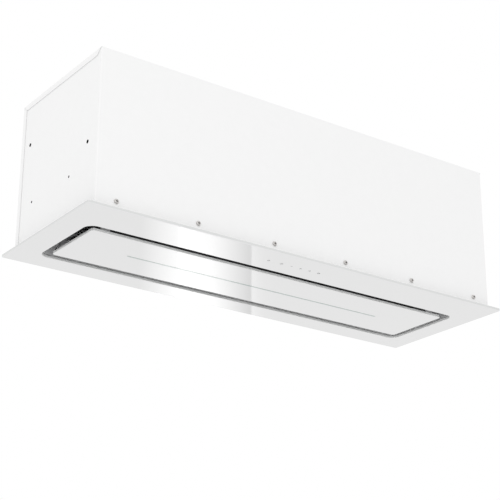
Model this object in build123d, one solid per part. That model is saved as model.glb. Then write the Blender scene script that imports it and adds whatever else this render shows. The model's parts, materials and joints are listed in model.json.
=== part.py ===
from build123d import *
import math
import os

# Ceiling range hood that is let into a ceiling, in millimetres.
# Origin: centre of the four suspension holes, on the outer face of the top plate.
# +X runs along the hood, -Y is the side with the touch keys, +Z points up.

# ---------------------------------------------------------------- overall sizes
HOOD_HEIGHT = 289.0          # visible glass face to the top plate
CASE_LENGTH = 868.0
CASE_WIDTH = 276.0
SHEET = 1.0                  # casing sheet
CORNER_BEND = 2.5            # outside radius of the front corners
LIP_BEND = 2.0               # outside radius of the folded top and back edges
LIP = 12.0                   # width of the lips folded over the end plates
FLANGE = 15.0                # inward flanges under the top plate
MITRE_GAP = 0.4
MITRE_STOP = 2.5             # left closed at the bent corner

BEZEL_PAST_END = 17.5        # bezel past the casing at each end
BEZEL_PAST_SIDE = 13.0       # bezel past the casing at front and back
BEZEL_CORNER = 3.0
GLASS = 5.0
ARRIS = 0.6                  # ground edge of the glass
OPENING_END = 29.5           # casing's end to the opening in the glass
OPENING_NEAR = 67.0          # casing's front to the opening
OPENING_FAR = 33.0           # casing's back to the opening
OPENING_CORNER = 18.0
SUCTION_GAP = 18.0           # along the front and back of the door panel
SUCTION_GAP_END = 16.5       # at its two ends
PANEL_CORNER = 6.0
TAPE = 0.8                   # bonding tape on both glasses

# ---------------------------------------------------------------- fits
SEAT_GAP = 0.3               # small clearance between a piece and its seat
PIN_PLAY = 0.05              # radial running clearance of pins and shafts
SCREW_PLAY = 0.2             # radial clearance of a through hole
THREAD_PLAY = 0.05           # radial clearance left where a screw bites
OVER = 1.0                   # a cutter runs this far past, a joined piece this far in

# ---------------------------------------------------------------- fasteners
SCREW_R = 2.0
SCREW_HEAD_R = 4.2
SCREW_HEAD = 2.6
SCREW_DOME = 1.56            # rounding of a head's rim
SCREW_LENGTH = 10.0
CROSS_LENGTH = 4.6
CROSS_WIDTH = 1.1
CROSS_DEPTH = 1.4
RIVET_R = 1.6
RIVET_HEAD_R = 3.2
RIVET_HEAD = 1.2
RIVET_DOME = 0.84
RIVET_TAIL = 2.0
RIVET_TAIL_R = 2.24
RIVET_COUNT = 7
RIVET_INSET = 44.0           # casing's end to the last rivet

# ---------------------------------------------------------------- casing details
SCREW_COUNT = 6
SCREW_INSET = 40.25          # casing's end to the last screw
SCREW_HEIGHT = 20.0          # above the visible face
SUSPENSION_END = 34.0        # casing's end to the suspension holes
SUSPENSION_SIDE = 38.0       # casing's front or back to the suspension holes
SUSPENSION_R = 4.5
RAIL_WIDTH = 30.0
RAIL_DEPTH = 20.0
RAIL_SHEET = 2.0
BRACKET_HOLE_R = 3.5
BRACKET_HIGH = 201.5         # upper bracket hole above the visible face
BRACKET_HIGH_FAR = 33.0      # and its distance from the casing's back
BRACKET_LOW = 127.5          # lower bracket hole above the visible face
BRACKET_LOW_NEAR = 33.0      # and its distance from the casing's front
FLANGE_HOLE_R = 2.2
FLANGE_HOLE_NEAR = 91.5      # casing's front to the near flange hole
FLANGE_HOLE_FAR = 52.5       # casing's back to the far flange hole
FLANGE_HOLE_HEIGHT = 86.0

# ---------------------------------------------------------------- carrier and intake
CARRIER_SHEET = 1.2
CARRIER_OVERHANG = 6.0
CARRIER_UPSTAND = 32.0       # top of the upstand above the visible face
CARRIER_SETBACK = 2.0        # edge behind the glass opening
TAPE_MARGIN = 4.0
THROAT_SHEET = 1.0
THROAT_SETBACK = 1.0
THROAT_FLANGE = 12.0
DECK_HEIGHT = 46.0           # top of the filter deck above the visible face
DECK_SHEET = 1.2
DECK_FLANGE_TOP = 95.0

# ---------------------------------------------------------------- touch keys
KEY_COUNT = 6
KEY_PITCH = 20.0
KEY_X = -20.0                # centre of the row of keys
KEY_NEAR = 28.5              # casing's front to the row of keys
KEY_PAD_R = 6.0
KEY_PAD = 1.2
TOUCH_LENGTH = 150.0
TOUCH_WIDTH = 22.0
BOARD = 1.6
WINDOW_CLEARANCE = 2.0
RECEIVER_R = 2.5
RECEIVER_HEIGHT = 6.0        # infrared receiver soldered on the board
LENS_SHARE = 0.9             # its lens is a little narrower than its body

# ---------------------------------------------------------------- door panel
TRAY_INSET = 6.0
TRAY_X_INSET = 16.0
TRAY_SHEET = 1.0
TRAY_BACK_MARGIN = 5.5       # tray wall behind the hinge axis
TRAY_HEIGHT = 16.0           # top of the tray walls above the visible face
LIGHT_END = 108.0            # panel's end to the light line
LIGHT_WIDTH = 4.5
LIGHT_FIT = 0.2
DIFFUSER_FLANGE = 12.0
TRAY_SLOT = 10.0
CHANNEL_WIDTH = 20.0
CHANNEL_HEIGHT = 10.0
CHANNEL_WALL = 1.2
CHANNEL_EXTRA = 10.0
STRIP_WIDTH = 12.0
STRIP = 1.2
CHIP_PITCH = 20.0
CHIP_LENGTH = 3.5
CHIP_WIDTH = 2.8
CHIP = 1.0

HINGE_FAR = 7.0              # panel's back edge to the hinge axis
HINGE_HEIGHT = 10.0
HINGE_PIN_R = 2.5
HINGE_EYE_R = 4.4
HINGE_PIN_PAST = 4.0         # pin past the bracket
PIN_HEAD_R = 3.0
PIN_HEAD = 4.0
HINGE_PLATE_GAP = 8.0        # tray's end to the bracket
HINGE_PLATE = 2.0
HINGE_FOOT = 28.0            # length of the bracket along the deck
HINGE_FOOT_WIDTH = 12.0
HINGE_ARM_STRAIGHT = 12.0
HINGE_ARM_SLOPE = 12.0

CATCH_END = 35.5             # opening's end to the catch's middle
CATCH_WIDTH = 34.0
CATCH_DEPTH = 22.0
CATCH_HEIGHT = 10.0
CATCH_EDGE = 2.0
STRIKE = 1.2
STRIKE_REACH = 13.0

# ---------------------------------------------------------------- grease filters
FILTER_END = 39.5            # opening's end to the filter
FILTER_SIDE = 14.0           # opening's side to the filter
FILTER_SPACING = 20.0        # between the two filters
FILTER_THICK = 9.0
FILTER_GAP = 0.5             # play under the deck
FILTER_BAR = 8.0
FILTER_FRONT_BAR = 26.0
FILTER_CORNER = 4.0
MESH = 3.0
MESH_SEAT = 3.0              # how far the mesh reaches into the frame
MESH_FIT = 0.1
MESH_COLUMNS = 22
MESH_ROWS = 9
MESH_WEB = 2.4
WINDOW_MARGIN = 8.0
HANGER = 1.2
HANGER_LENGTH = 60.0
HANGER_GAP = 0.6
LEDGE_REACH = 6.0

LATCH_WIDTH = 30.0
LATCH_LENGTH = 12.0
LATCH = 3.0
LATCH_FIT = 0.2
LATCH_SKIN = 2.2
LATCH_TRAVEL = 6.0
LATCH_WALL = 1.5
TONGUE_WIDTH = 16.0
TONGUE_REACH = 4.5
TAB_WIDTH = 22.0
TAB = 2.0
TAB_DROP = 4.0
POCKET_LENGTH = 21.5
SPRING_LEAF = 0.4
SPRING_SPAN = 22.0
SPRING_END = 0.52            # length of the leaf's end face along the frame

# ---------------------------------------------------------------- blower
AXIS_NEAR = 102.0            # casing's front to the blower's axis
IMPELLER_GAP = 13.0          # narrowest gap between impeller and scroll
IMPELLER_HALF = 75.0
BLADE_COUNT = 40
BLADE_DEPTH = 12.0           # between a blade's two edges
BLADE = 1.0
BLADE_RAKE = 24.0            # lean of a blade between its two edges, degrees
BLADE_SETBACK = 1.0          # outer edge inside the end rings
BLADE_BELLY = 1.5            # how far the blade's middle bows forward
RING_DEPTH = 4.0
RING_WIDTH = 3.0
DISC = 2.0
HUB_R = 14.0
HUB_HALF = 14.0
SHAFT_R = 4.0
SHAFT_HOLE_R = 5.0           # hole for the shaft in the motor's front face

MOUTH_NECK = 14.0            # straight wall between the first arc and the mouth
SCROLL_STEP = 14.0           # growth of the radius each quarter turn
SCROLL_HALF = 85.0
CHEEK = 1.2
CHEEK_RIM = 3.0
BELL_R = 8.0
INLET_LAP = 1.0              # inlet lip inside the blades' inner edge
FOOT_LENGTH = 20.0
FOOT_SHEET = 1.5
FOOT_HALF = 60.0
SKIRT_HEIGHT = 55.0
MOUNT_HEIGHT = 6.0
MOUNT_R = 8.0
MOUNT_NECK_R = 4.0
MOUNT_HEAD_R = 6.5
MOUNT_HEAD = 3.0
MOUNT_INSET = 10.0

MOTOR_R = 46.0
MOTOR_WALL = 1.5
MOTOR_END = 2.0
MOTOR_LENGTH = 66.0
MOTOR_GAP = 14.0             # between the cheek and the motor's front face
STATOR_LENGTH = 40.0
ROTOR_R = 24.0
AIR_GAP = 0.6
WINDING_R = 28.0
WINDING_TOP_R = 40.0
WINDING_LENGTH = 8.0
BEARING_R = 11.0
BEARING = 7.0
BOSS = 3.0
VENT_COUNT = 8
VENT_R = 4.0
VENT_PCD_R = 33.0
BRACKET_SHEET = 1.5
BRACKET_RING_GAP = 2.0       # ring outside the inlet bell
BRACKET_RING = 14.0
BRACKET_ARMS = 3
ARM_WIDTH = 16.0
CLAMP_LENGTH = 18.0
CLAMP_WALL = 2.0

# ---------------------------------------------------------------- outlet
BOX_HALF_X = 88.0
BOX_HALF_Y = 74.0
BOX_DEPTH = 25.0             # floor of the discharge box below the top plate
BOX_FLANGE = 10.0
SEAL = 3.0
SEAL_WIDTH = 7.0
COLLAR_R = 75.0
COLLAR_WALL = 1.2
COLLAR_HEIGHT = 45.0
COLLAR_FLANGE_R = 92.0
COLLAR_SEAT_R = 70.0
COLLAR_SCREWS = 4
COLLAR_SCREW_R = 83.5
COLLAR_SCREW_TURN = 45.0     # first screw, degrees from +X
FLAP_AXIS_HEIGHT = 5.0
FLAP = 1.2
FLAP_R = 72.0
FLAP_PIN_R = 1.5
KNUCKLE_R = 3.0
KNUCKLE_LENGTH = 30.0
KNUCKLE_GAP = 4.0
FLAP_SETBACK = 3.6

# ---------------------------------------------------------------- electrics
CONTROL_LENGTH = 160.0
CONTROL_WIDTH = 106.0
CONTROL_END = 59.0           # casing's end to the control box
CONTROL_NEAR = 18.0          # casing's front to the control box
CONTROL_DEPTH = 58.0
CONTROL_WALL = 1.2
LID_LIP = 8.0
BOARD_INSET = 8.0
BOARD_DROP = 22.0
POST_R = 3.0
PART_MARGIN = 8.0
TRANSFORMER = (34.0, 30.0, 24.0)
RELAY = (16.0, 20.0, 15.0)
RELAY_COUNT = 3
RELAY_PITCH = 22.0
SMOOTHER_R = 6.0
SMOOTHER_HEIGHT = 20.0
SMOOTHER_COUNT = 2
SMOOTHER_PITCH = 18.0
GLAND_END = 30.0             # control box's end to the gland
GLAND_FAR = 31.0             # control box's back to the gland
GLAND_R = 10.0
GLAND_BORE_R = 4.0
GLAND_HEX_R = 13.5
GLAND_HEX = 5.0
GLAND_DOME_R = 11.5
GLAND_DOME = 16.0
TERMINAL_LENGTH = 46.0
TERMINAL_WIDTH = 18.0
TERMINAL_HEIGHT = 16.0
TERMINAL_WAYS = 3
TERMINAL_BORE_R = 2.2
TERMINAL_SCREW_R = 2.5
DRIVER_LENGTH = 120.0
DRIVER_WIDTH = 38.0
DRIVER_HEIGHT = 24.0
DRIVER_STEP = 8.0            # step for the terminals at each end
DRIVER_CORNER = 3.0
DRIVER_END = 104.0           # casing's end to the driver's middle
DRIVER_FAR = 43.0            # casing's back to the driver's middle
CAPACITOR_R = 15.0
CAPACITOR_LENGTH = 62.0
CAPACITOR_END = 184.0        # casing's end to the capacitor's middle
CAPACITOR_NEAR = 33.0        # casing's front to the capacitor's axis
CAN_EDGE = 2.0
TAG = 1.0
TAG_WIDTH = 6.0
TAG_LENGTH = 7.0
TAG_PITCH = 10.0
CLIP = 1.2
CLIP_WIDTH = 14.0
CLIP_FOOT = 12.0
LEAD_R = 2.5
LEAD_BEND = 10.0
LEAD_ENTRY = 4.0             # how far a lead reaches into the control box
MOTOR_RUN_NEAR = 43.0        # casing's front to the motor lead
MOTOR_RUN_Z = -32.0
TOUCH_RISE = 20.0
TOUCH_LEAD_X = 150.0
TOUCH_RUN_Z = -45.0

# ---------------------------------------------------------------- levels and faces
FACE_Z = -HOOD_HEIGHT
GLASS_TOP = FACE_Z + GLASS
CARRIER_Z = GLASS_TOP + TAPE
RIM_Z = CARRIER_Z + CARRIER_SHEET            # the casing stands here
DECK_TOP = FACE_Z + DECK_HEIGHT
DECK_Z = DECK_TOP - DECK_SHEET
CASE_X = CASE_LENGTH / 2
CASE_Y = CASE_WIDTH / 2
END_X = CASE_X - SHEET                       # end plates, inside the lips
INNER_X = END_X - SHEET
INNER_Y = CASE_Y - SHEET
SCREW_Z = FACE_Z + SCREW_HEIGHT
SCREW_PITCH = (CASE_LENGTH - 2 * SCREW_INSET) / (SCREW_COUNT - 1)
RIVET_PITCH = (CASE_LENGTH - 2 * RIVET_INSET) / (RIVET_COUNT - 1)
SUSPENSION_X = CASE_LENGTH - 2 * SUSPENSION_END
SUSPENSION_Y = CASE_WIDTH - 2 * SUSPENSION_SIDE
BEZEL_LENGTH = CASE_LENGTH + 2 * BEZEL_PAST_END
BEZEL_WIDTH = CASE_WIDTH + 2 * BEZEL_PAST_SIDE
OPENING_LENGTH = CASE_LENGTH - 2 * OPENING_END
OPENING_WIDTH = CASE_WIDTH - OPENING_NEAR - OPENING_FAR
OPENING_Y = (OPENING_NEAR - OPENING_FAR) / 2
BRACKET_HOLES = (                            # y and height above the visible face
    (CASE_Y - BRACKET_HIGH_FAR, BRACKET_HIGH),
    (-CASE_Y + BRACKET_LOW_NEAR, BRACKET_LOW),
)
FLANGE_HOLES_Y = (-CASE_Y + FLANGE_HOLE_NEAR, CASE_Y - FLANGE_HOLE_FAR)
KEY_Y = -CASE_Y + KEY_NEAR

PANEL_LENGTH = OPENING_LENGTH - 2 * SUCTION_GAP_END
PANEL_WIDTH = OPENING_WIDTH - 2 * SUCTION_GAP
PANEL_FRONT = OPENING_Y - PANEL_WIDTH / 2
PANEL_BACK = OPENING_Y + PANEL_WIDTH / 2
OPENING_FRONT = OPENING_Y - OPENING_WIDTH / 2
TRAY_Z = GLASS_TOP + TAPE
TRAY_TOP = FACE_Z + TRAY_HEIGHT
TRAY_X = PANEL_LENGTH / 2 - TRAY_X_INSET
TRAY_FRONT = PANEL_FRONT + TRAY_INSET
HINGE_Y = PANEL_BACK - HINGE_FAR
HINGE_Z = FACE_Z + HINGE_HEIGHT
HINGE_PLATE_X = TRAY_X + HINGE_PLATE_GAP
HINGE_PIN_END = HINGE_PLATE_X + HINGE_PLATE + HINGE_PIN_PAST
TRAY_BACK = HINGE_Y + TRAY_BACK_MARGIN
CATCH_X = OPENING_LENGTH / 2 - CATCH_END
LIGHT_LENGTH = PANEL_LENGTH - 2 * LIGHT_END
CHIP_COUNT = int(LIGHT_LENGTH / CHIP_PITCH)

FILTER_LENGTH = (OPENING_LENGTH - 2 * FILTER_END - FILTER_SPACING) / 2
FILTER_WIDTH = OPENING_WIDTH - 2 * FILTER_SIDE
FILTER_PITCH = FILTER_LENGTH + FILTER_SPACING
FILTER_TOP = DECK_Z - FILTER_GAP
FILTER_Z = FILTER_TOP - FILTER_THICK
FILTER_FRONT = OPENING_Y - FILTER_WIDTH / 2
FILTER_BACK = OPENING_Y + FILTER_WIDTH / 2
LATCH_Z = FILTER_Z + LATCH_SKIN + LATCH_FIT
POCKET_FRONT = FILTER_FRONT + LATCH_WALL
LATCH_FRONT = POCKET_FRONT + LATCH_FIT

HALF_STEP = SCROLL_STEP / 2
FOOT_Z = DECK_TOP + MOUNT_HEIGHT
BOX_Z = -BOX_DEPTH - SHEET                   # underside of the discharge box
MOUTH_Z = BOX_Z - SEAL
SCROLL_ROOM = MOUTH_Z - MOUTH_NECK - FOOT_Z - SHEET - CHEEK_RIM
SCROLL_R = (SCROLL_ROOM - SCROLL_STEP) / 2   # first quarter of the spiral
IMPELLER_R = SCROLL_R - IMPELLER_GAP
BLADE_INNER_R = IMPELLER_R - BLADE_DEPTH
INLET_R = BLADE_INNER_R - INLET_LAP
BRACKET_RING_R = INLET_R + BELL_R + BRACKET_RING_GAP
AXIS_Y = -CASE_Y + AXIS_NEAR
AXIS_Z = FOOT_Z + HALF_STEP + SCROLL_R + SCROLL_STEP + SHEET + CHEEK_RIM
MOUTH_LEFT = AXIS_Y - HALF_STEP
MOUTH_RIGHT = AXIS_Y + HALF_STEP + SCROLL_R + 2 * SCROLL_STEP
COLLAR_Y = (MOUTH_LEFT + MOUTH_RIGHT) / 2
CHEEK_X = SCROLL_HALF + CHEEK                # outer face of a cheek
MOTOR_FRONT = -(CHEEK_X + MOTOR_GAP)
MOTOR_BACK = MOTOR_FRONT - MOTOR_LENGTH
MOTOR_MIDDLE = (MOTOR_FRONT + MOTOR_BACK) / 2

CONTROL_X = (CASE_X - CONTROL_END - CONTROL_LENGTH, CASE_X - CONTROL_END)
CONTROL_Y = (-CASE_Y + CONTROL_NEAR, -CASE_Y + CONTROL_NEAR + CONTROL_WIDTH)
GLAND_X = CONTROL_X[1] - GLAND_END
GLAND_Y = CONTROL_Y[1] - GLAND_FAR
DRIVER_X = -CASE_X + DRIVER_END
DRIVER_Y = CASE_Y - DRIVER_FAR
CAPACITOR_X = -CASE_X + CAPACITOR_END
CAPACITOR_Y = -CASE_Y + CAPACITOR_NEAR
MOTOR_RUN_Y = -CASE_Y + MOTOR_RUN_NEAR

SIDES = (-1, 1)


# ---------------------------------------------------------------- helpers
def span(centre, size):
    """Low and high end of a length about its centre."""
    return (centre - size / 2, centre + size / 2)


def block(x, y, z):
    """Box between a low and a high limit on each axis."""
    centre = Pos(sum(x) / 2, sum(y) / 2, sum(z) / 2)
    return centre * Box(x[1] - x[0], y[1] - y[0], z[1] - z[0])


def plate(length, width, corner, centre, z):
    """Flat plate with round corners between two heights."""
    return upward(Pos(*centre) * RectangleRounded(length, width, corner), z)


def frame_plate(outer, inner, centre, z):
    """Plate with an opening: outer and inner are (length, width, corner)."""
    tall = (z[0] - OVER, z[1] + OVER)
    return plate(*outer, centre, z) - plate(*inner, centre, tall)


def post(radius, x, y, z):
    """Upright round bar."""
    return Pos(x, y, sum(z) / 2) * Cylinder(radius, z[1] - z[0])


def rod_x(radius, x, y, z):
    """Round bar along X."""
    return Pos(sum(x) / 2, y, z) * Rot(0, 90, 0) * Cylinder(radius, x[1] - x[0])


def rod_y(radius, x, y, z):
    """Round bar along Y."""
    return Pos(x, sum(y) / 2, z) * Rot(90, 0, 0) * Cylinder(radius, y[1] - y[0])


def ring_x(outer, inner, x, y=AXIS_Y, z=AXIS_Z):
    """Round ring along X, on the blower's axis unless told otherwise."""
    return rod_x(outer, x, y, z) - rod_x(inner, (x[0] - OVER, x[1] + OVER), y, z)


def screw(length=SCREW_LENGTH):
    """Pan head screw, head up, its seat at height zero."""
    head = Pos(0, 0, SCREW_HEAD / 2) * Cylinder(SCREW_HEAD_R, SCREW_HEAD)
    head = fillet(head.edges().group_by(Axis.Z)[-1], SCREW_DOME)
    for turn in (0, 90):
        slot = Box(CROSS_LENGTH, CROSS_WIDTH, CROSS_DEPTH)
        head -= Pos(0, 0, SCREW_HEAD - CROSS_DEPTH / 2) * Rot(0, 0, turn) * slot
    shank = Pos(0, 0, -length / 2) * Cylinder(SCREW_R, length)
    return head + shank


def rivet(grip):
    """Blind rivet, head up, its seat at height zero, closing a stack of sheets."""
    head = Pos(0, 0, RIVET_HEAD / 2) * Cylinder(RIVET_HEAD_R, RIVET_HEAD)
    head = fillet(head.edges().group_by(Axis.Z)[-1], RIVET_DOME)
    shank = Pos(0, 0, -(grip + RIVET_TAIL) / 2) * Cylinder(RIVET_R, grip + RIVET_TAIL)
    tail = Pos(0, 0, -grip - RIVET_TAIL / 2) * Cylinder(RIVET_TAIL_R, RIVET_TAIL)
    return head + shank + tail


def along_x(face, x):
    """Solid from a face drawn in Y and Z, between two places along X."""
    return Pos(x[0], 0, 0) * extrude(Plane.YZ * face, x[1] - x[0], dir=(1, 0, 0))


def upward(face, z):
    """Solid from a face drawn in X and Y, between two heights."""
    return Pos(0, 0, z[0]) * extrude(face, z[1] - z[0], dir=(0, 0, 1))


def both_ends(piece):
    """A piece and its mirror image at the other end of the hood."""
    return [piece, mirror(piece, about=Plane.YZ)]


def save(node, *pieces):
    """Write one sub-part, or a group of like pieces, under its name."""
    solids = [solid for piece in pieces for solid in piece.solids()]
    shape = solids[0] if len(solids) == 1 else Compound(solids)
    export_step(shape, f"parts/{node}.step")


# ---------------------------------------------------------------- casing
def carrier_screw_places():
    """X of each screw that holds the bezel carrier to the casing."""
    return [(i - (SCREW_COUNT - 1) / 2) * SCREW_PITCH for i in range(SCREW_COUNT)]


def rivet_places():
    """X of each rivet along the front edge of the top plate."""
    return [(i - (RIVET_COUNT - 1) / 2) * RIVET_PITCH for i in range(RIVET_COUNT)]


def suspension_holes(radius, z):
    """Upright cutters for the four suspension holes."""
    return [
        post(radius, sx * SUSPENSION_X / 2, sy * SUSPENSION_Y / 2, z)
        for sx in SIDES
        for sy in SIDES
    ]


def end_holes():
    """Cutters through both end plates: bracket holes and deck flange holes."""
    across = (-CASE_X, CASE_X)
    holes = [rod_x(BRACKET_HOLE_R, across, y, FACE_Z + h) for y, h in BRACKET_HOLES]
    return holes + flange_holes()


def flange_holes():
    across = (-CASE_X, CASE_X)
    level = FACE_Z + FLANGE_HOLE_HEIGHT
    return [rod_x(FLANGE_HOLE_R, across, y, level) for y in FLANGE_HOLES_Y]


def front_shell():
    """Front plate and both end plates, bent from one sheet, with top flanges."""
    outer = block((-END_X, END_X), (-CASE_Y, INNER_Y), (RIM_Z, -SHEET))
    outer = fillet(outer.edges().filter_by(Axis.Z).group_by(Axis.Y)[0], CORNER_BEND)
    inner = block((-INNER_X, INNER_X), (-INNER_Y, CASE_Y), (RIM_Z - OVER, 0))
    inner = fillet(inner.edges().filter_by(Axis.Z).group_by(Axis.Y)[0], CORNER_BEND - SHEET)
    shell = outer - inner
    flange_z = (-2 * SHEET, -SHEET)
    reach = INNER_X - FLANGE - CORNER_BEND
    shell += block((-reach, reach), (-INNER_Y, -INNER_Y + FLANGE), flange_z)
    side = (-INNER_Y + FLANGE + CORNER_BEND, INNER_Y - CORNER_BEND)
    for end in SIDES:
        edge = sorted((end * INNER_X, end * (INNER_X - FLANGE)))
        shell += block(edge, side, flange_z)
    cuts = end_holes()
    cuts += [rod_y(SCREW_R + SCREW_PLAY, x, (-CASE_Y - OVER, 0), SCREW_Z) for x in carrier_screw_places()]
    cuts += [
        post(RIVET_R + THREAD_PLAY, x, -INNER_Y + FLANGE / 2, (-3 * SHEET, 0))
        for x in rivet_places()
    ]
    return shell - cuts


def end_cutaway():
    """What is cut from one closed end so that only the mitred lips stay."""
    outline = Polygon(
        (-CASE_Y - SHEET, SHEET),
        (-CASE_Y + LIP, -LIP),
        (CASE_Y - LIP, -LIP),
        (CASE_Y - LIP, RIM_Z - OVER),
        (-CASE_Y - SHEET, RIM_Z - OVER),
        align=None,
    )
    cut = along_x(outline, (END_X, CASE_X + SHEET))
    middle = (MITRE_STOP + LIP + OVER) / 2
    length = (LIP + OVER - MITRE_STOP) * math.sqrt(2)
    mitre = Pos(END_X + SHEET, CASE_Y - middle, -middle) * Rot(45, 0, 0)
    return [cut, mitre * Box(2 * SHEET, length, MITRE_GAP)]


def rear_shell():
    """Top and back plate, folded round both ends as narrow lips."""
    outer = block((-CASE_X, CASE_X), (-CASE_Y, CASE_Y), (RIM_Z, 0))
    top_edges = outer.faces().sort_by(Axis.Z)[-1].edges().sort_by(Axis.Y)[1:]
    back_edges = outer.edges().filter_by(Axis.Z).group_by(Axis.Y)[-1]
    outer = fillet(top_edges + back_edges, LIP_BEND)
    shell = outer - block((-END_X, END_X), (-CASE_Y - OVER, INNER_Y), (RIM_Z - OVER, -SHEET))
    for tool in end_cutaway():
        shell -= both_ends(tool)
    through = (-2 * SHEET, SHEET)
    cuts = suspension_holes(SUSPENSION_R, through)
    cuts.append(post(COLLAR_SEAT_R, 0, COLLAR_Y, through))
    cuts.append(post(GLAND_R + SCREW_PLAY, GLAND_X, GLAND_Y, through))
    cuts += [post(SCREW_R + THREAD_PLAY, x, y, through) for x, y in collar_screw_places()]
    cuts += [
        post(RIVET_R + THREAD_PLAY, x, -INNER_Y + FLANGE / 2, through)
        for x in rivet_places()
    ]
    cuts += [rod_y(SCREW_R + SCREW_PLAY, x, (0, CASE_Y + OVER), SCREW_Z) for x in carrier_screw_places()]
    return shell - cuts


def shell_rivets():
    y = -INNER_Y + FLANGE / 2
    return [Pos(x, y, 0) * rivet(2 * SHEET) for x in rivet_places()]


def hanger_rails():
    """Channels under the top plate that take the load of the suspension rods."""
    y = (-INNER_Y + FLANGE, INNER_Y)
    rails = []
    for side in SIDES:
        x = side * SUSPENSION_X / 2
        top = -SHEET
        rail = block(span(x, RAIL_WIDTH), y, (top - RAIL_DEPTH, top))
        hollow = (top - RAIL_DEPTH - OVER, top - RAIL_SHEET)
        rail -= block(span(x, RAIL_WIDTH - 2 * RAIL_SHEET), (y[0] - OVER, y[1] + OVER), hollow)
        rails.append(rail - suspension_holes(SUSPENSION_R, (top - RAIL_DEPTH, 0)))
    return rails


# ---------------------------------------------------------------- bezel
def touch_window(z):
    """Cutter that leaves room for the touch board."""
    length = TOUCH_LENGTH + 2 * WINDOW_CLEARANCE
    width = TOUCH_WIDTH + 2 * WINDOW_CLEARANCE
    return block(span(KEY_X, length), span(KEY_Y, width), z)


def bezel_glass():
    outer = (BEZEL_LENGTH, BEZEL_WIDTH, BEZEL_CORNER)
    glass = plate(*outer, (0, 0), (FACE_Z, GLASS_TOP))
    opening = (OPENING_LENGTH, OPENING_WIDTH, OPENING_CORNER)
    glass -= plate(*opening, (0, OPENING_Y), (FACE_Z - OVER, GLASS_TOP + OVER))
    rims = glass.faces().filter_by(Axis.Z).edges()
    return chamfer(rims, ARRIS)


def bezel_tape():
    length = CASE_LENGTH + 2 * (CARRIER_OVERHANG - TAPE_MARGIN)
    width = CASE_WIDTH + 2 * (CARRIER_OVERHANG - TAPE_MARGIN)
    hole_length = OPENING_LENGTH + 2 * TAPE_MARGIN
    hole_width = OPENING_WIDTH + 2 * TAPE_MARGIN
    z = (GLASS_TOP, CARRIER_Z)
    tape = plate(length, width, BEZEL_CORNER, (0, 0), z)
    cut = (z[0] - OVER, z[1] + OVER)
    tape -= plate(hole_length, hole_width, OPENING_CORNER + TAPE_MARGIN, (0, OPENING_Y), cut)
    return tape - touch_window(cut)


def bezel_carrier():
    """Folded steel ring: flat on the glass, with an upstand inside the casing."""
    length = CASE_LENGTH + 2 * CARRIER_OVERHANG
    width = CASE_WIDTH + 2 * CARRIER_OVERHANG
    ring = plate(length, width, BEZEL_CORNER, (0, 0), (CARRIER_Z, RIM_Z))
    up_length = 2 * (INNER_X - SEAT_GAP)
    up_width = 2 * (INNER_Y - SEAT_GAP)
    top = FACE_Z + CARRIER_UPSTAND
    outer = (up_length, up_width, CORNER_BEND)
    wall = 2 * CARRIER_SHEET
    inner = (up_length - wall, up_width - wall, CORNER_BEND - CARRIER_SHEET)
    ring += frame_plate(outer, inner, (0, 0), (CARRIER_Z, top))
    setback = 2 * CARRIER_SETBACK
    hole = (OPENING_LENGTH + setback, OPENING_WIDTH + setback, OPENING_CORNER + CARRIER_SETBACK)
    cut = (CARRIER_Z - OVER, RIM_Z + OVER)
    ring -= plate(*hole, (0, OPENING_Y), cut)
    ring -= touch_window(cut)
    across = (-CASE_Y, CASE_Y)
    return ring - [rod_y(SCREW_R + THREAD_PLAY, x, across, SCREW_Z) for x in carrier_screw_places()]


def carrier_screws():
    screws = []
    for x in carrier_screw_places():
        screws.append(Pos(x, -CASE_Y, SCREW_Z) * Rot(90, 0, 0) * screw())
        screws.append(Pos(x, CASE_Y, SCREW_Z) * Rot(-90, 0, 0) * screw())
    return screws


def touch_board():
    """Circuit board on the back of the glass: a pad behind each key, and the receiver."""
    z = (GLASS_TOP, GLASS_TOP + BOARD)
    board = block(span(KEY_X, TOUCH_LENGTH), span(KEY_Y, TOUCH_WIDTH), z)
    for i in range(KEY_COUNT):
        x = KEY_X + (i - (KEY_COUNT - 1) / 2) * KEY_PITCH
        board += post(KEY_PAD_R, x, KEY_Y, (z[1], z[1] + KEY_PAD))
    x = KEY_X - TOUCH_LENGTH / 2 + 2 * RECEIVER_R
    head = (z[1], z[1] + RECEIVER_HEIGHT)
    board += block(span(x, 2 * RECEIVER_R), span(KEY_Y, 2 * RECEIVER_R), head)
    return board + Pos(x, KEY_Y, head[1]) * Sphere(RECEIVER_R * LENS_SHARE)


# ---------------------------------------------------------------- intake
def intake_throat():
    """Sheet wall between the glass opening and the filter deck."""
    setback = 2 * THROAT_SETBACK
    inner = (OPENING_LENGTH + setback, OPENING_WIDTH + setback, OPENING_CORNER + THROAT_SETBACK)
    outer = tuple(size + 2 * THROAT_SHEET for size in inner[:2]) + (inner[2] + THROAT_SHEET,)
    foot = tuple(size + 2 * THROAT_FLANGE for size in outer[:2]) + (outer[2] + THROAT_FLANGE,)
    centre = (0, OPENING_Y)
    wall = frame_plate(outer, inner, centre, (RIM_Z, DECK_Z))
    return wall + frame_plate(foot, inner, centre, (RIM_Z, RIM_Z + THROAT_SHEET))


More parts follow.
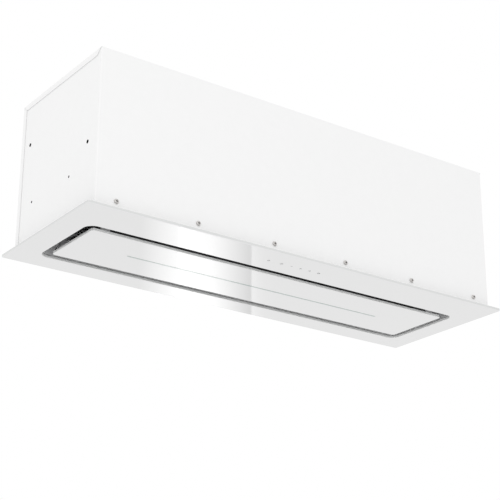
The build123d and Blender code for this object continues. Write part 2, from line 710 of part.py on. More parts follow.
def filter_deck():
    """Deck over the intake: two filter windows, hangers, ledges and end flanges."""
    half_x = INNER_X - SEAT_GAP
    half_y = INNER_Y - SEAT_GAP
    deck = plate(2 * half_x, 2 * half_y, CORNER_BEND, (0, 0), (DECK_Z, DECK_TOP))
    for end in SIDES:
        edge = sorted((end * half_x, end * (half_x - DECK_SHEET)))
        rise = (DECK_Z, FACE_Z + DECK_FLANGE_TOP)
        deck += block(edge, (-half_y + FLANGE, half_y - FLANGE), rise)
    for side in SIDES:
        x = side * FILTER_PITCH / 2
        window = span(x, FILTER_LENGTH - 2 * WINDOW_MARGIN)
        window_y = (FILTER_FRONT + WINDOW_MARGIN, FILTER_BACK - WINDOW_MARGIN)
        deck -= block(window, window_y, (DECK_Z - OVER, DECK_TOP + OVER))
        deck += filter_hanger(x)
        deck += filter_ledge(x)
    deck -= post(LEAD_R + SCREW_PLAY, TOUCH_LEAD_X, KEY_Y, (DECK_Z - OVER, DECK_TOP + OVER))
    return deck - flange_holes()


def filter_hanger(x):
    """Tab bent down in front of a filter, with the slot for its latch."""
    face = FILTER_FRONT - HANGER_GAP
    low = FILTER_Z - HANGER
    hanger = block(span(x, HANGER_LENGTH), (face - HANGER, face), (low, DECK_Z + HANGER / 2))
    slot_z = (LATCH_Z - 2 * LATCH_FIT, LATCH_Z + LATCH + 2 * LATCH_FIT)
    slot = block(span(x, TONGUE_WIDTH + 4 * LATCH_FIT), (face - 2 * HANGER, face + HANGER), slot_z)
    return hanger - slot


def filter_ledge(x):
    """Ledge bent under the back edge of a filter."""
    length = FILTER_LENGTH - 2 * WINDOW_MARGIN
    face = FILTER_BACK + HANGER_GAP
    low = FILTER_Z - SEAT_GAP
    web = block(span(x, length), (face, face + HANGER), (low - HANGER, DECK_Z + HANGER / 2))
    lip = block(span(x, length), (face - LEDGE_REACH, face + HANGER), (low - HANGER, low))
    return web + lip


# ---------------------------------------------------------------- filters
def filter_frame(x):
    """Rim of one grease filter, with the pocket that its latch slides in."""
    rim = plate(FILTER_LENGTH, FILTER_WIDTH, FILTER_CORNER, (x, OPENING_Y), (FILTER_Z, FILTER_TOP))
    window_x = span(x, FILTER_LENGTH - 2 * FILTER_BAR)
    window_y = (FILTER_FRONT + FILTER_FRONT_BAR, FILTER_BACK - FILTER_BAR)
    rim -= block(window_x, window_y, (FILTER_Z - OVER, FILTER_TOP + OVER))
    seat = MESH_SEAT + MESH_FIT
    groove_x = (window_x[0] - seat, window_x[1] + seat)
    groove_y = (window_y[0] - seat, window_y[1] + seat)
    middle = (FILTER_Z + FILTER_TOP) / 2
    rim -= block(groove_x, groove_y, span(middle, MESH + 2 * MESH_FIT))
    pocket_y = (POCKET_FRONT, POCKET_FRONT + POCKET_LENGTH)
    skin = FILTER_Z + LATCH_SKIN
    rim -= block(span(x, LATCH_WIDTH + 2 * LATCH_FIT), pocket_y, (skin, LATCH_Z + LATCH + LATCH_FIT))
    tab_y = (LATCH_FRONT + LATCH_LENGTH - 2 * TAB, LATCH_FRONT + LATCH_LENGTH + LATCH_TRAVEL + TAB)
    rim -= block(span(x, TAB_WIDTH + 2 * LATCH_FIT), tab_y, (FILTER_Z - OVER, skin + OVER))
    slot = (LATCH_Z - LATCH_FIT, LATCH_Z + LATCH + LATCH_FIT)
    tongue_y = (FILTER_FRONT - OVER, POCKET_FRONT + OVER)
    return rim - block(span(x, TONGUE_WIDTH + 2 * LATCH_FIT), tongue_y, slot)


def filter_mesh(x):
    """Aluminium mesh of one filter: a net with lozenge gaps."""
    length = FILTER_LENGTH - 2 * FILTER_BAR + 2 * MESH_SEAT
    low = FILTER_FRONT + FILTER_FRONT_BAR - MESH_SEAT
    high = FILTER_BACK - FILTER_BAR + MESH_SEAT
    column = (length - 2 * MESH_SEAT) / MESH_COLUMNS
    step_y = (high - low - 2 * MESH_SEAT) / MESH_ROWS
    half_x = (column - MESH_WEB) / 2
    half_y = (step_y - MESH_WEB) / 2
    gap = Polygon((-half_x, 0), (0, -half_y), (half_x, 0), (0, half_y), align=None)
    net = Rectangle(length, high - low) - GridLocations(column, step_y, MESH_COLUMNS, MESH_ROWS) * gap
    middle = (FILTER_Z + FILTER_TOP) / 2
    return upward(Pos(x, (low + high) / 2) * net, span(middle, MESH))


def filter_latch(x):
    """Sliding bolt of one filter: plate, tongue in front and finger tab below."""
    z = (LATCH_Z, LATCH_Z + LATCH)
    back = LATCH_FRONT + LATCH_LENGTH
    bolt = block(span(x, LATCH_WIDTH), (LATCH_FRONT, back), z)
    bolt += block(span(x, TONGUE_WIDTH), (FILTER_FRONT - TONGUE_REACH, LATCH_FRONT + OVER), z)
    tab_y = (back - 2 * TAB + LATCH_FIT, back - TAB + LATCH_FIT)
    return bolt + block(span(x, TAB_WIDTH), tab_y, (FILTER_Z - TAB_DROP, LATCH_Z + OVER))


def latch_spring(x):
    """Bowed leaf spring that pushes the bolt forward."""
    near = LATCH_FRONT + LATCH_LENGTH + LATCH_FIT
    far = POCKET_FRONT + POCKET_LENGTH - LATCH_FIT
    half = SPRING_SPAN / 2
    inner_half = half - SPRING_END
    outer = ThreePointArc((-half, far), (0, near), (half, far))
    inner = ThreePointArc((inner_half, far), (0, near + SPRING_LEAF), (-inner_half, far))
    ends = [Line(outer @ 1, inner @ 0), Line(inner @ 1, outer @ 0)]
    leaf = make_face([outer, ends[0], inner, ends[1]])
    return upward(Pos(x, 0) * leaf, (LATCH_Z, LATCH_Z + LATCH))


# ---------------------------------------------------------------- door panel
def panel_glass():
    glass = plate(PANEL_LENGTH, PANEL_WIDTH, PANEL_CORNER, (0, OPENING_Y), (FACE_Z, GLASS_TOP))
    rims = glass.faces().filter_by(Axis.Z).edges()
    glass = chamfer(rims, ARRIS)
    slot = Pos(0, OPENING_Y) * SlotOverall(LIGHT_LENGTH, LIGHT_WIDTH)
    return glass - upward(slot, (FACE_Z - OVER, GLASS_TOP + OVER))


def panel_tape():
    y = (TRAY_FRONT, TRAY_BACK)
    tape = block((-TRAY_X, TRAY_X), y, (GLASS_TOP, TRAY_Z))
    length = LIGHT_LENGTH + DIFFUSER_FLANGE
    width = DIFFUSER_FLANGE + 2 * LIGHT_FIT
    return tape - block(span(0, length), span(OPENING_Y, width), (GLASS_TOP - OVER, TRAY_Z + OVER))


def panel_tray():
    """Folded steel tray bonded behind the door glass; it carries hinge and light."""
    y = (TRAY_FRONT, TRAY_BACK)
    tray = block((-TRAY_X, TRAY_X), y, (TRAY_Z, TRAY_TOP))
    tray = fillet(tray.edges().filter_by(Axis.Z), CORNER_BEND)
    inner_x = TRAY_X - TRAY_SHEET
    inner_y = (y[0] + TRAY_SHEET, y[1] - TRAY_SHEET)
    hollow = block((-inner_x, inner_x), inner_y, (TRAY_Z + TRAY_SHEET, TRAY_TOP + OVER))
    tray -= fillet(hollow.edges().filter_by(Axis.Z), CORNER_BEND - TRAY_SHEET)
    tray -= block(span(0, LIGHT_LENGTH), span(OPENING_Y, TRAY_SLOT), (TRAY_Z - OVER, TRAY_TOP))
    return tray - rod_x(HINGE_PIN_R, (-PANEL_LENGTH / 2, PANEL_LENGTH / 2), HINGE_Y, HINGE_Z)


def light_diffuser():
    """Frosted bar: its nose fills the slot in the glass, its flange lies behind it."""
    nose = Pos(0, OPENING_Y) * SlotOverall(LIGHT_LENGTH - 2 * LIGHT_FIT, LIGHT_WIDTH - 2 * LIGHT_FIT)
    bar = upward(nose, (FACE_Z, GLASS_TOP))
    length = LIGHT_LENGTH + DIFFUSER_FLANGE - 2 * LIGHT_FIT
    return bar + block(span(0, length), span(OPENING_Y, DIFFUSER_FLANGE), (GLASS_TOP, TRAY_Z))


def light_channel():
    """Aluminium channel that covers the light strip and carries off its heat."""
    length = LIGHT_LENGTH + 2 * CHANNEL_EXTRA
    low = TRAY_Z + TRAY_SHEET
    channel = block(span(0, length), span(OPENING_Y, CHANNEL_WIDTH), (low, low + CHANNEL_HEIGHT))
    inside = block(
        span(0, length + 2),
        span(OPENING_Y, CHANNEL_WIDTH - 2 * CHANNEL_WALL),
        (low - OVER, low + CHANNEL_HEIGHT - CHANNEL_WALL),
    )
    return channel - inside


def strip_top():
    return TRAY_Z + TRAY_SHEET + CHANNEL_HEIGHT - CHANNEL_WALL


def light_strip():
    top = strip_top()
    return block(span(0, LIGHT_LENGTH), span(OPENING_Y, STRIP_WIDTH), (top - STRIP, top))


def light_chips():
    top = strip_top() - STRIP
    return [
        block(
            span((i - (CHIP_COUNT - 1) / 2) * CHIP_PITCH, CHIP_LENGTH),
            span(OPENING_Y, CHIP_WIDTH),
            (top - CHIP, top),
        )
        for i in range(CHIP_COUNT)
    ]


def hinge_pins():
    """Riveted pins in the tray's ends, with a spacer collar outside."""
    wall = TRAY_X - TRAY_SHEET
    pin = rod_x(HINGE_PIN_R, (wall - PIN_HEAD, HINGE_PIN_END), HINGE_Y, HINGE_Z)
    pin += rod_x(PIN_HEAD_R, (wall - PIN_HEAD, wall), HINGE_Y, HINGE_Z)
    pin += rod_x(PIN_HEAD_R, (TRAY_X, HINGE_PLATE_X - SEAT_GAP), HINGE_Y, HINGE_Z)
    return both_ends(pin)


def hinge_brackets():
    """Fixed hinge arms that hang from the deck beside the tray."""
    knee = HINGE_Z + HINGE_ARM_STRAIGHT
    hip = knee + HINGE_ARM_SLOPE
    foot = span(HINGE_Y - HINGE_EYE_R / 2, HINGE_FOOT)
    arm = Polygon(
        (HINGE_Y - HINGE_EYE_R, HINGE_Z),
        (HINGE_Y + HINGE_EYE_R, HINGE_Z),
        (HINGE_Y + HINGE_EYE_R, knee),
        (foot[1], hip),
        (foot[1], DECK_Z),
        (foot[0], DECK_Z),
        (foot[0], hip),
        (HINGE_Y - HINGE_EYE_R, knee),
        align=None,
    )
    side = arm + Pos(HINGE_Y, HINGE_Z) * Circle(HINGE_EYE_R)
    side -= Pos(HINGE_Y, HINGE_Z) * Circle(HINGE_PIN_R + PIN_PLAY)
    bracket = along_x(side, (HINGE_PLATE_X, HINGE_PLATE_X + HINGE_PLATE))
    top_x = (HINGE_PLATE_X + HINGE_PLATE - HINGE_FOOT_WIDTH, HINGE_PLATE_X + HINGE_PLATE)
    bracket += block(top_x, foot, (DECK_Z - HINGE_PLATE, DECK_Z))
    return both_ends(bracket)


def panel_catches():
    """Magnet catches on the front wall of the throat."""
    face = OPENING_FRONT - THROAT_SETBACK
    low = TRAY_TOP + STRIKE + SEAT_GAP
    body = block(span(CATCH_X, CATCH_WIDTH), (face, face + CATCH_DEPTH), (low, low + CATCH_HEIGHT))
    body = fillet(body.edges().filter_by(Axis.X).group_by(Axis.Y)[-1], CATCH_EDGE)
    return both_ends(body)


def strike_plates():
    """Steel angles on the tray that the magnets hold."""
    x = span(CATCH_X, CATCH_WIDTH)
    low = (x[0], TRAY_X - CORNER_BEND)
    upright = block(low, (TRAY_FRONT - STRIKE, TRAY_FRONT), (TRAY_Z + TRAY_SHEET, TRAY_TOP))
    reach = block(x, (TRAY_FRONT - STRIKE_REACH, TRAY_FRONT), (TRAY_TOP, TRAY_TOP + STRIKE))
    return both_ends(upright + reach)


# ---------------------------------------------------------------- blower
def scroll_air(grow=0.0):
    """Air space of the scroll: three growing quarter arcs and a straight mouth."""
    radii = [SCROLL_R + i * SCROLL_STEP + grow for i in range(3)]
    turn = math.degrees(math.asin(grow / radii[0]))
    arcs = [
        CenterArc((AXIS_Y - HALF_STEP, AXIS_Z - HALF_STEP), radii[0], 90 + turn, 90 - turn),
        CenterArc((AXIS_Y + HALF_STEP, AXIS_Z - HALF_STEP), radii[1], 180, 90),
        CenterArc((AXIS_Y + HALF_STEP, AXIS_Z + HALF_STEP), radii[2], 270, 90),
    ]
    left_top = (MOUTH_LEFT - grow, MOUTH_Z)
    right_top = (MOUTH_RIGHT + grow, MOUTH_Z)
    edges = [Line(left_top, arcs[0] @ 0), *arcs]
    edges += [Line(arcs[2] @ 1, right_top), Line(right_top, left_top)]
    return make_face(edges)


def scroll_wrap():
    sheet = scroll_air(SHEET) - scroll_air()
    return along_x(sheet, (-SCROLL_HALF, SCROLL_HALF))


def inlet_bell():
    """Rounded inlet lip, turned about the blower's axis."""
    centre = (CHEEK_X - BELL_R, INLET_R + BELL_R)
    outer = CenterArc(centre, BELL_R, 270, 90)
    inner = CenterArc(centre, BELL_R - CHEEK, 0, -90)
    section = make_face([outer, Line(outer @ 1, inner @ 0), inner, Line(inner @ 1, outer @ 0)])
    return Pos(0, AXIS_Y, AXIS_Z) * revolve(section, Axis.X)


def scroll_cheek():
    """Side plate of the scroll at the +X end, with bell and foot."""
    skirt = Pos(AXIS_Y, FOOT_Z + SKIRT_HEIGHT / 2) * Rectangle(2 * FOOT_HALF, SKIRT_HEIGHT)
    side = scroll_air(SHEET + CHEEK_RIM) + skirt
    side -= Pos(AXIS_Y, AXIS_Z) * Circle(INLET_R + BELL_R)
    cheek = along_x(side, (SCROLL_HALF, CHEEK_X)) + inlet_bell()
    foot_z = (FOOT_Z, FOOT_Z + FOOT_SHEET)
    cheek += block((SCROLL_HALF, CHEEK_X + FOOT_LENGTH), span(AXIS_Y, 2 * FOOT_HALF), foot_z)
    through = (FOOT_Z - OVER, FOOT_Z + 2 * FOOT_SHEET)
    return cheek - [post(MOUNT_NECK_R, CHEEK_X + FOOT_LENGTH / 2, y, through) for y in mount_places()]


def mount_places():
    reach = FOOT_HALF - MOUNT_INSET
    return (AXIS_Y - reach, AXIS_Y + reach)


def blower_mounts():
    """Rubber grommets between the scroll's feet and the deck."""
    x = CHEEK_X + FOOT_LENGTH / 2
    mounts = []
    for y in mount_places():
        mount = post(MOUNT_R, x, y, (DECK_TOP, FOOT_Z))
        mount += post(MOUNT_NECK_R, x, y, (FOOT_Z, FOOT_Z + FOOT_SHEET))
        top = FOOT_Z + FOOT_SHEET
        mount += post(MOUNT_HEAD_R, x, y, (top, top + MOUNT_HEAD))
        mounts += both_ends(mount)
    return mounts


def impeller():
    """Double inlet wheel: centre disc, forward curved blades and two end rings."""
    wheel = rod_x(IMPELLER_R, span(0, DISC), AXIS_Y, AXIS_Z)
    for end in SIDES:
        x = sorted((end * IMPELLER_HALF, end * (IMPELLER_HALF - RING_WIDTH)))
        wheel += ring_x(IMPELLER_R, IMPELLER_R - RING_DEPTH, x)
    wheel = wheel.fuse(*blades())
    return wheel - rod_x(HUB_R, (-HUB_HALF, HUB_HALF), AXIS_Y, AXIS_Z)


def blades():
    """Curved blades of the wheel, each an arc of sheet along X."""
    outer_r = IMPELLER_R - BLADE_SETBACK
    lean = math.radians(BLADE_RAKE)
    root = Vector(BLADE_INNER_R, 0)
    tip = Vector(outer_r * math.cos(lean / 2), outer_r * math.sin(lean / 2))
    belly = (root + tip) / 2 + Vector(BLADE_BELLY, -BLADE_BELLY)
    front = ThreePointArc(root, belly, tip)
    shift = Vector(0, BLADE)
    back = ThreePointArc(tip + shift, belly + shift, root + shift)
    section = make_face([front, Line(front @ 1, back @ 0), back, Line(back @ 1, front @ 0)])
    blade = along_x(section, (-IMPELLER_HALF, IMPELLER_HALF))
    step = 360 / BLADE_COUNT
    place = Pos(0, AXIS_Y, AXIS_Z)
    return [place * Rot(i * step, 0, 0) * blade for i in range(BLADE_COUNT)]


def impeller_hub():
    return ring_x(HUB_R, SHAFT_R, (-HUB_HALF, HUB_HALF))


def drive_shaft():
    tail = MOTOR_BACK + MOTOR_END + SEAT_GAP
    return rod_x(SHAFT_R, (tail, HUB_HALF), AXIS_Y, AXIS_Z)


def motor_rotor():
    return ring_x(ROTOR_R, SHAFT_R, span(MOTOR_MIDDLE, STATOR_LENGTH))


def motor_half(end):
    """One half of the motor shell: cup, end wall with vents and bearing boss."""
    edge = MOTOR_FRONT if end > 0 else MOTOR_BACK
    cup = ring_x(MOTOR_R, MOTOR_R - MOTOR_WALL, sorted((edge, MOTOR_MIDDLE)))
    cup += rod_x(MOTOR_R, sorted((edge, edge - end * MOTOR_END)), AXIS_Y, AXIS_Z)
    boss = sorted((edge, edge - end * (MOTOR_END + BEARING)))
    cup += rod_x(BEARING_R + BOSS, boss, AXIS_Y, AXIS_Z)
    cup -= rod_x(BEARING_R, bearing_span(end), AXIS_Y, AXIS_Z)
    if end > 0:
        cup -= rod_x(SHAFT_HOLE_R, (edge - MOTOR_END - OVER, edge + OVER), AXIS_Y, AXIS_Z)
    wall = sorted((edge + end * OVER, edge - end * (MOTOR_END + OVER)))
    for i in range(VENT_COUNT):
        angle = math.radians(i * 360 / VENT_COUNT)
        y = AXIS_Y + VENT_PCD_R * math.cos(angle)
        cup -= rod_x(VENT_R, wall, y, AXIS_Z + VENT_PCD_R * math.sin(angle))
    return cup


def bearing_span(end):
    edge = MOTOR_FRONT if end > 0 else MOTOR_BACK
    return sorted((edge - end * MOTOR_END, edge - end * (MOTOR_END + BEARING)))


def motor_bearings():
    return [ring_x(BEARING_R, SHAFT_R + PIN_PLAY, bearing_span(end)) for end in SIDES]


def motor_stator():
    return ring_x(MOTOR_R - MOTOR_WALL, ROTOR_R + AIR_GAP, span(MOTOR_MIDDLE, STATOR_LENGTH))


def motor_windings():
    """End turns of the winding at both ends of the stator."""
    coils = []
    for end in SIDES:
        near = MOTOR_MIDDLE + end * STATOR_LENGTH / 2
        x = sorted((near, near + end * WINDING_LENGTH))
        coils.append(ring_x(WINDING_TOP_R, WINDING_R, x))
    return coils


def motor_bracket():
    """Ring on the cheek, three arms and the clamp that holds the motor."""
    foot_x = (-CHEEK_X - BRACKET_SHEET, -CHEEK_X)
    clamp_x = span(MOTOR_MIDDLE + CLAMP_LENGTH / 2, CLAMP_LENGTH)
    rim_r = BRACKET_RING_R + BRACKET_RING
    bracket = ring_x(rim_r, BRACKET_RING_R, foot_x)
    bracket += ring_x(MOTOR_R + CLAMP_WALL, MOTOR_R, clamp_x)
    width = span(0, ARM_WIDTH)
    low = BRACKET_RING_R + BRACKET_SHEET
    leg = block((clamp_x[0], foot_x[1]), width, (low, low + BRACKET_SHEET))
    spoke_x = (clamp_x[0], clamp_x[0] + BRACKET_SHEET)
    spoke = block(spoke_x, width, (MOTOR_R + CLAMP_WALL / 2, low + BRACKET_SHEET))
    place = Pos(0, AXIS_Y, AXIS_Z)
    for i in range(BRACKET_ARMS):
        bracket += place * Rot(i * 360 / BRACKET_ARMS, 0, 0) * (leg + spoke)
    return bracket


# ---------------------------------------------------------------- outlet
def discharge_box():
    """Shallow box under the top plate, from the scroll's mouth to the round outlet."""
    x = (-BOX_HALF_X, BOX_HALF_X)
    y = span(COLLAR_Y, 2 * BOX_HALF_Y)
    outer_x = (x[0] - SHEET, x[1] + SHEET)
    outer_y = (y[0] - SHEET, y[1] + SHEET)
    box = block(outer_x, outer_y, (BOX_Z, -SHEET))
    flange_x = (outer_x[0] - BOX_FLANGE, outer_x[1] + BOX_FLANGE)
    flange_y = (outer_y[0] - BOX_FLANGE, outer_y[1] + BOX_FLANGE)
    box += block(flange_x, flange_y, (-2 * SHEET, -SHEET))
    box -= block(x, y, (-BOX_DEPTH, 0))
    mouth = block((-SCROLL_HALF, SCROLL_HALF), (MOUTH_LEFT, MOUTH_RIGHT), (BOX_Z - OVER, -BOX_DEPTH + OVER))
    return box - mouth


def mouth_seal():
    """Foam frame between the scroll's mouth and the discharge box."""
    x = (-SCROLL_HALF - CHEEK, SCROLL_HALF + CHEEK)
    y = (MOUTH_LEFT - CHEEK_RIM - SHEET, MOUTH_RIGHT + CHEEK_RIM + SHEET)
    seal = block(x, y, (MOUTH_Z, BOX_Z))
    hole_y = (MOUTH_LEFT, MOUTH_RIGHT)
    return seal - block((-SCROLL_HALF, SCROLL_HALF), hole_y, (MOUTH_Z - OVER, BOX_Z + OVER))


def collar_screw_places():
    places = []
    for i in range(COLLAR_SCREWS):
        angle = math.radians(COLLAR_SCREW_TURN + i * 360 / COLLAR_SCREWS)
        places.append((COLLAR_SCREW_R * math.cos(angle), COLLAR_Y + COLLAR_SCREW_R * math.sin(angle)))
    return places


def duct_collar():
    """Round spigot for the duct, on a flat flange whose edge stops the flaps."""
    flange = post(COLLAR_FLANGE_R, 0, COLLAR_Y, (0, COLLAR_WALL))
    collar = flange + post(COLLAR_R, 0, COLLAR_Y, (0, COLLAR_HEIGHT))
    collar -= post(COLLAR_R - COLLAR_WALL, 0, COLLAR_Y, (COLLAR_WALL, COLLAR_HEIGHT + OVER))
    collar -= post(COLLAR_SEAT_R, 0, COLLAR_Y, (-OVER, COLLAR_WALL + OVER))
    collar -= rod_x(FLAP_PIN_R + PIN_PLAY, (-COLLAR_R - OVER, COLLAR_R + OVER), COLLAR_Y, FLAP_AXIS_HEIGHT)
    through = (-OVER, COLLAR_WALL + OVER)
    return collar - [post(SCREW_R + SCREW_PLAY, x, y, through) for x, y in collar_screw_places()]


def collar_screws():
    return [Pos(x, y, COLLAR_WALL) * screw() for x, y in collar_screw_places()]


def flap_pin():
    return rod_x(FLAP_PIN_R, (-COLLAR_R, COLLAR_R), COLLAR_Y, FLAP_AXIS_HEIGHT)


def outlet_flap(turn):
    """Half round backdraft flap with two knuckles; turned half round for its mate."""
    disc = post(FLAP_R, 0, 0, span(0, FLAP))
    flap = disc & block((-FLAP_R, FLAP_R), (-FLAP_R, -FLAP_SETBACK), (-FLAP, FLAP))
    starts = (-2 * KNUCKLE_LENGTH - KNUCKLE_GAP, KNUCKLE_GAP / 2)
    for start in starts:
        x = (start, start + KNUCKLE_LENGTH)
        flap += block(x, (-FLAP_SETBACK - OVER, 0), span(0, FLAP))
        flap += rod_x(KNUCKLE_R, x, 0, 0)
    flap -= rod_x(FLAP_PIN_R + PIN_PLAY, (-FLAP_R, FLAP_R), 0, 0)
    return Pos(0, COLLAR_Y, FLAP_AXIS_HEIGHT) * Rot(0, 0, turn) * flap


# ---------------------------------------------------------------- electrics
def control_box():
    """Steel box under the top plate, open at the bottom."""
    top = -SHEET
    box = block(CONTROL_X, CONTROL_Y, (top - CONTROL_DEPTH, top))
    x = (CONTROL_X[0] + CONTROL_WALL, CONTROL_X[1] - CONTROL_WALL)
    y = (CONTROL_Y[0] + CONTROL_WALL, CONTROL_Y[1] - CONTROL_WALL)
    box -= block(x, y, (top - CONTROL_DEPTH - OVER, top - CONTROL_WALL))
    box -= post(GLAND_R + SCREW_PLAY, GLAND_X, GLAND_Y, (top - 2 * CONTROL_WALL, 0))
    wall = (CONTROL_X[0] - OVER, CONTROL_X[0] + CONTROL_WALL + OVER)
    ends = (motor_route()[0], touch_route()[-1])
    return box - [rod_x(LEAD_R + SCREW_PLAY, wall, end[1], end[2]) for end in ends]


def control_lid():
    """Lid of the control box, with a lip all round."""
    low = -SHEET - CONTROL_DEPTH
    x = (CONTROL_X[0] - CONTROL_WALL, CONTROL_X[1] + CONTROL_WALL)
    y = (CONTROL_Y[0] - CONTROL_WALL, CONTROL_Y[1] + CONTROL_WALL)
    lid = block(x, y, (low - CONTROL_WALL, low + LID_LIP))
    return lid - block(CONTROL_X, CONTROL_Y, (low, low + LID_LIP + OVER))


def board_level():
    return -SHEET - CONTROL_WALL - BOARD_DROP


def control_board():
    """Main board on four posts, with transformer, relays and smoothing capacitors."""
    x = (CONTROL_X[0] + BOARD_INSET, GLAND_X - TERMINAL_WIDTH - GLAND_HEX_R)
    y = (CONTROL_Y[0] + BOARD_INSET, CONTROL_Y[1] - BOARD_INSET)
    level = board_level()
    board = block(x, y, (level - BOARD, level))
    for px in (x[0] + 2 * POST_R, x[1] - 2 * POST_R):
        for py in (y[0] + 2 * POST_R, y[1] - 2 * POST_R):
            board += post(POST_R, px, py, (level, -SHEET - CONTROL_WALL))
    low = level - BOARD
    half = TRANSFORMER[0] / 2 + PART_MARGIN
    board += component(x[0] + half, y[0] + half, low, TRANSFORMER)
    for i in range(RELAY_COUNT):
        place = x[0] + PART_MARGIN + RELAY[0] + i * RELAY_PITCH
        board += component(place, y[1] - PART_MARGIN - RELAY[1] / 2, low, RELAY)
    for i in range(SMOOTHER_COUNT):
        place = y[0] + half + (i - 0.5) * SMOOTHER_PITCH
        board += post(SMOOTHER_R, x[1] - 2 * SMOOTHER_R, place, (low - SMOOTHER_HEIGHT, low))
    return board


def component(x, y, top, size):
    """Block that hangs from the board, given its length, width and height."""
    return block(span(x, size[0]), span(y, size[1]), (top - size[2], top))


def terminal_block():
    top = -SHEET - CONTROL_WALL
    x = span(GLAND_X, TERMINAL_LENGTH)
    y = span(GLAND_Y - GLAND_HEX_R - TERMINAL_WIDTH, TERMINAL_WIDTH)
    body = block(x, y, (top - TERMINAL_HEIGHT, top))
    middle = top - TERMINAL_HEIGHT / 2
    for i in range(TERMINAL_WAYS):
        way = GLAND_X + (i - (TERMINAL_WAYS - 1) / 2) * TERMINAL_LENGTH / TERMINAL_WAYS
        body -= rod_y(TERMINAL_BORE_R, way, (y[0] - OVER, y[1] + OVER), middle)
        body -= post(TERMINAL_SCREW_R, way, sum(y) / 2, (top - TERMINAL_HEIGHT - OVER, middle))
    return body


def cable_gland():
    """Screwed cable inlet in the top plate."""
    neck = -SHEET - CONTROL_WALL
    gland = post(GLAND_R, GLAND_X, GLAND_Y, (neck - GLAND_HEX, 0))
    nut = Pos(GLAND_X, GLAND_Y) * RegularPolygon(GLAND_HEX_R, 6)
    gland += upward(nut, (0, GLAND_HEX))
    gland += upward(nut, (neck - GLAND_HEX, neck))
    dome = post(GLAND_DOME_R, GLAND_X, GLAND_Y, (GLAND_HEX, GLAND_HEX + GLAND_DOME))
    gland += fillet(dome.edges().group_by(Axis.Z)[-1], GLAND_DOME_R / 2)
    bore = (neck - GLAND_HEX - OVER, GLAND_HEX + GLAND_DOME + OVER)
    return gland - post(GLAND_BORE_R, GLAND_X, GLAND_Y, bore)


def light_driver():
    """Power supply of the light, on the deck."""
    z = (DECK_TOP, DECK_TOP + DRIVER_HEIGHT)
    driver = block(span(DRIVER_X, DRIVER_LENGTH), span(DRIVER_Y, DRIVER_WIDTH), z)
    driver = fillet(driver.edges().filter_by(Axis.Z), DRIVER_CORNER)
    for end in SIDES:
        x = span(DRIVER_X + end * DRIVER_LENGTH / 2, 2 * DRIVER_STEP)
        step_z = (z[0] + DRIVER_HEIGHT / 2, z[1] + OVER)
        driver -= block(x, span(DRIVER_Y, DRIVER_WIDTH - DRIVER_STEP), step_z)
    return driver


def run_capacitor():
    z = DECK_TOP + CLIP + CAPACITOR_R
    can = rod_x(CAPACITOR_R, span(CAPACITOR_X, CAPACITOR_LENGTH), CAPACITOR_Y, z)
    can = fillet(can.edges().group_by(Axis.X)[0] + can.edges().group_by(Axis.X)[-1], CAN_EDGE)
    end = CAPACITOR_X + CAPACITOR_LENGTH / 2
    for side in SIDES:
        y = CAPACITOR_Y + side * TAG_PITCH / 2
        can += block((end - OVER, end + TAG_LENGTH), span(y, TAG), span(z, TAG_WIDTH))
    return can


def capacitor_clip():
    """Strap over the run capacitor with a foot at each side."""
    z = DECK_TOP + CLIP + CAPACITOR_R
    x = span(CAPACITOR_X, CLIP_WIDTH)
    outer_r = CAPACITOR_R + CLIP
    strap = rod_x(outer_r, x, CAPACITOR_Y, z)
    strap += block(x, span(CAPACITOR_Y, 2 * outer_r), (DECK_TOP, z))
    strap -= rod_x(CAPACITOR_R, (x[0] - OVER, x[1] + OVER), CAPACITOR_Y, z)
    strap -= block((x[0] - OVER, x[1] + OVER), span(CAPACITOR_Y, 2 * CAPACITOR_R), (DECK_TOP + CLIP, z))
    return strap + block(x, span(CAPACITOR_Y, 2 * (outer_r + CLIP_FOOT)), (DECK_TOP, DECK_TOP + CLIP))


def motor_route():
    """Corners of the motor lead, from the control box to the top of the motor."""
    motor_x = MOTOR_MIDDLE - STATOR_LENGTH / 2
    return [
        (CONTROL_X[0] + LEAD_ENTRY, MOTOR_RUN_Y, MOTOR_RUN_Z),
        (motor_x, MOTOR_RUN_Y, MOTOR_RUN_Z),
        (motor_x, AXIS_Y, MOTOR_RUN_Z),
        (motor_x, AXIS_Y, AXIS_Z + MOTOR_R),
    ]


def touch_route():
    """Corners of the touch lead, from the touch board through the deck to the control box."""
    start_x = KEY_X + TOUCH_LENGTH / 2 - 2 * LEAD_R
    start_z = GLASS_TOP + BOARD
    run_z = start_z + TOUCH_RISE
    return [
        (start_x, KEY_Y, start_z),
        (start_x, KEY_Y, run_z),
        (TOUCH_LEAD_X, KEY_Y, run_z),
        (TOUCH_LEAD_X, KEY_Y, TOUCH_RUN_Z),
        (CONTROL_X[0] + LEAD_ENTRY, KEY_Y, TOUCH_RUN_Z),
    ]


def capacitor_route():
    """Corners of the capacitor lead, from its tags to the underside of the motor."""
    motor_x = MOTOR_MIDDLE - STATOR_LENGTH / 2
    run_z = DECK_TOP + CLIP + CAPACITOR_R
    return [
        (CAPACITOR_X + CAPACITOR_LENGTH / 2 + TAG_LENGTH, CAPACITOR_Y, run_z),
        (motor_x, CAPACITOR_Y, run_z),
        (motor_x, AXIS_Y, run_z),
        (motor_x, AXIS_Y, AXIS_Z - MOTOR_R),
    ]


def internal_leads():
    """Round leads that the casing holds along their whole route."""
    leads = []
    for route in (motor_route(), touch_route(), capacitor_route()):
        path = FilletPolyline(*route, radius=LEAD_BEND)
        section = Plane(origin=path @ 0, z_dir=path % 0) * Circle(LEAD_R)
        leads.append(sweep(section, path))
    return leads


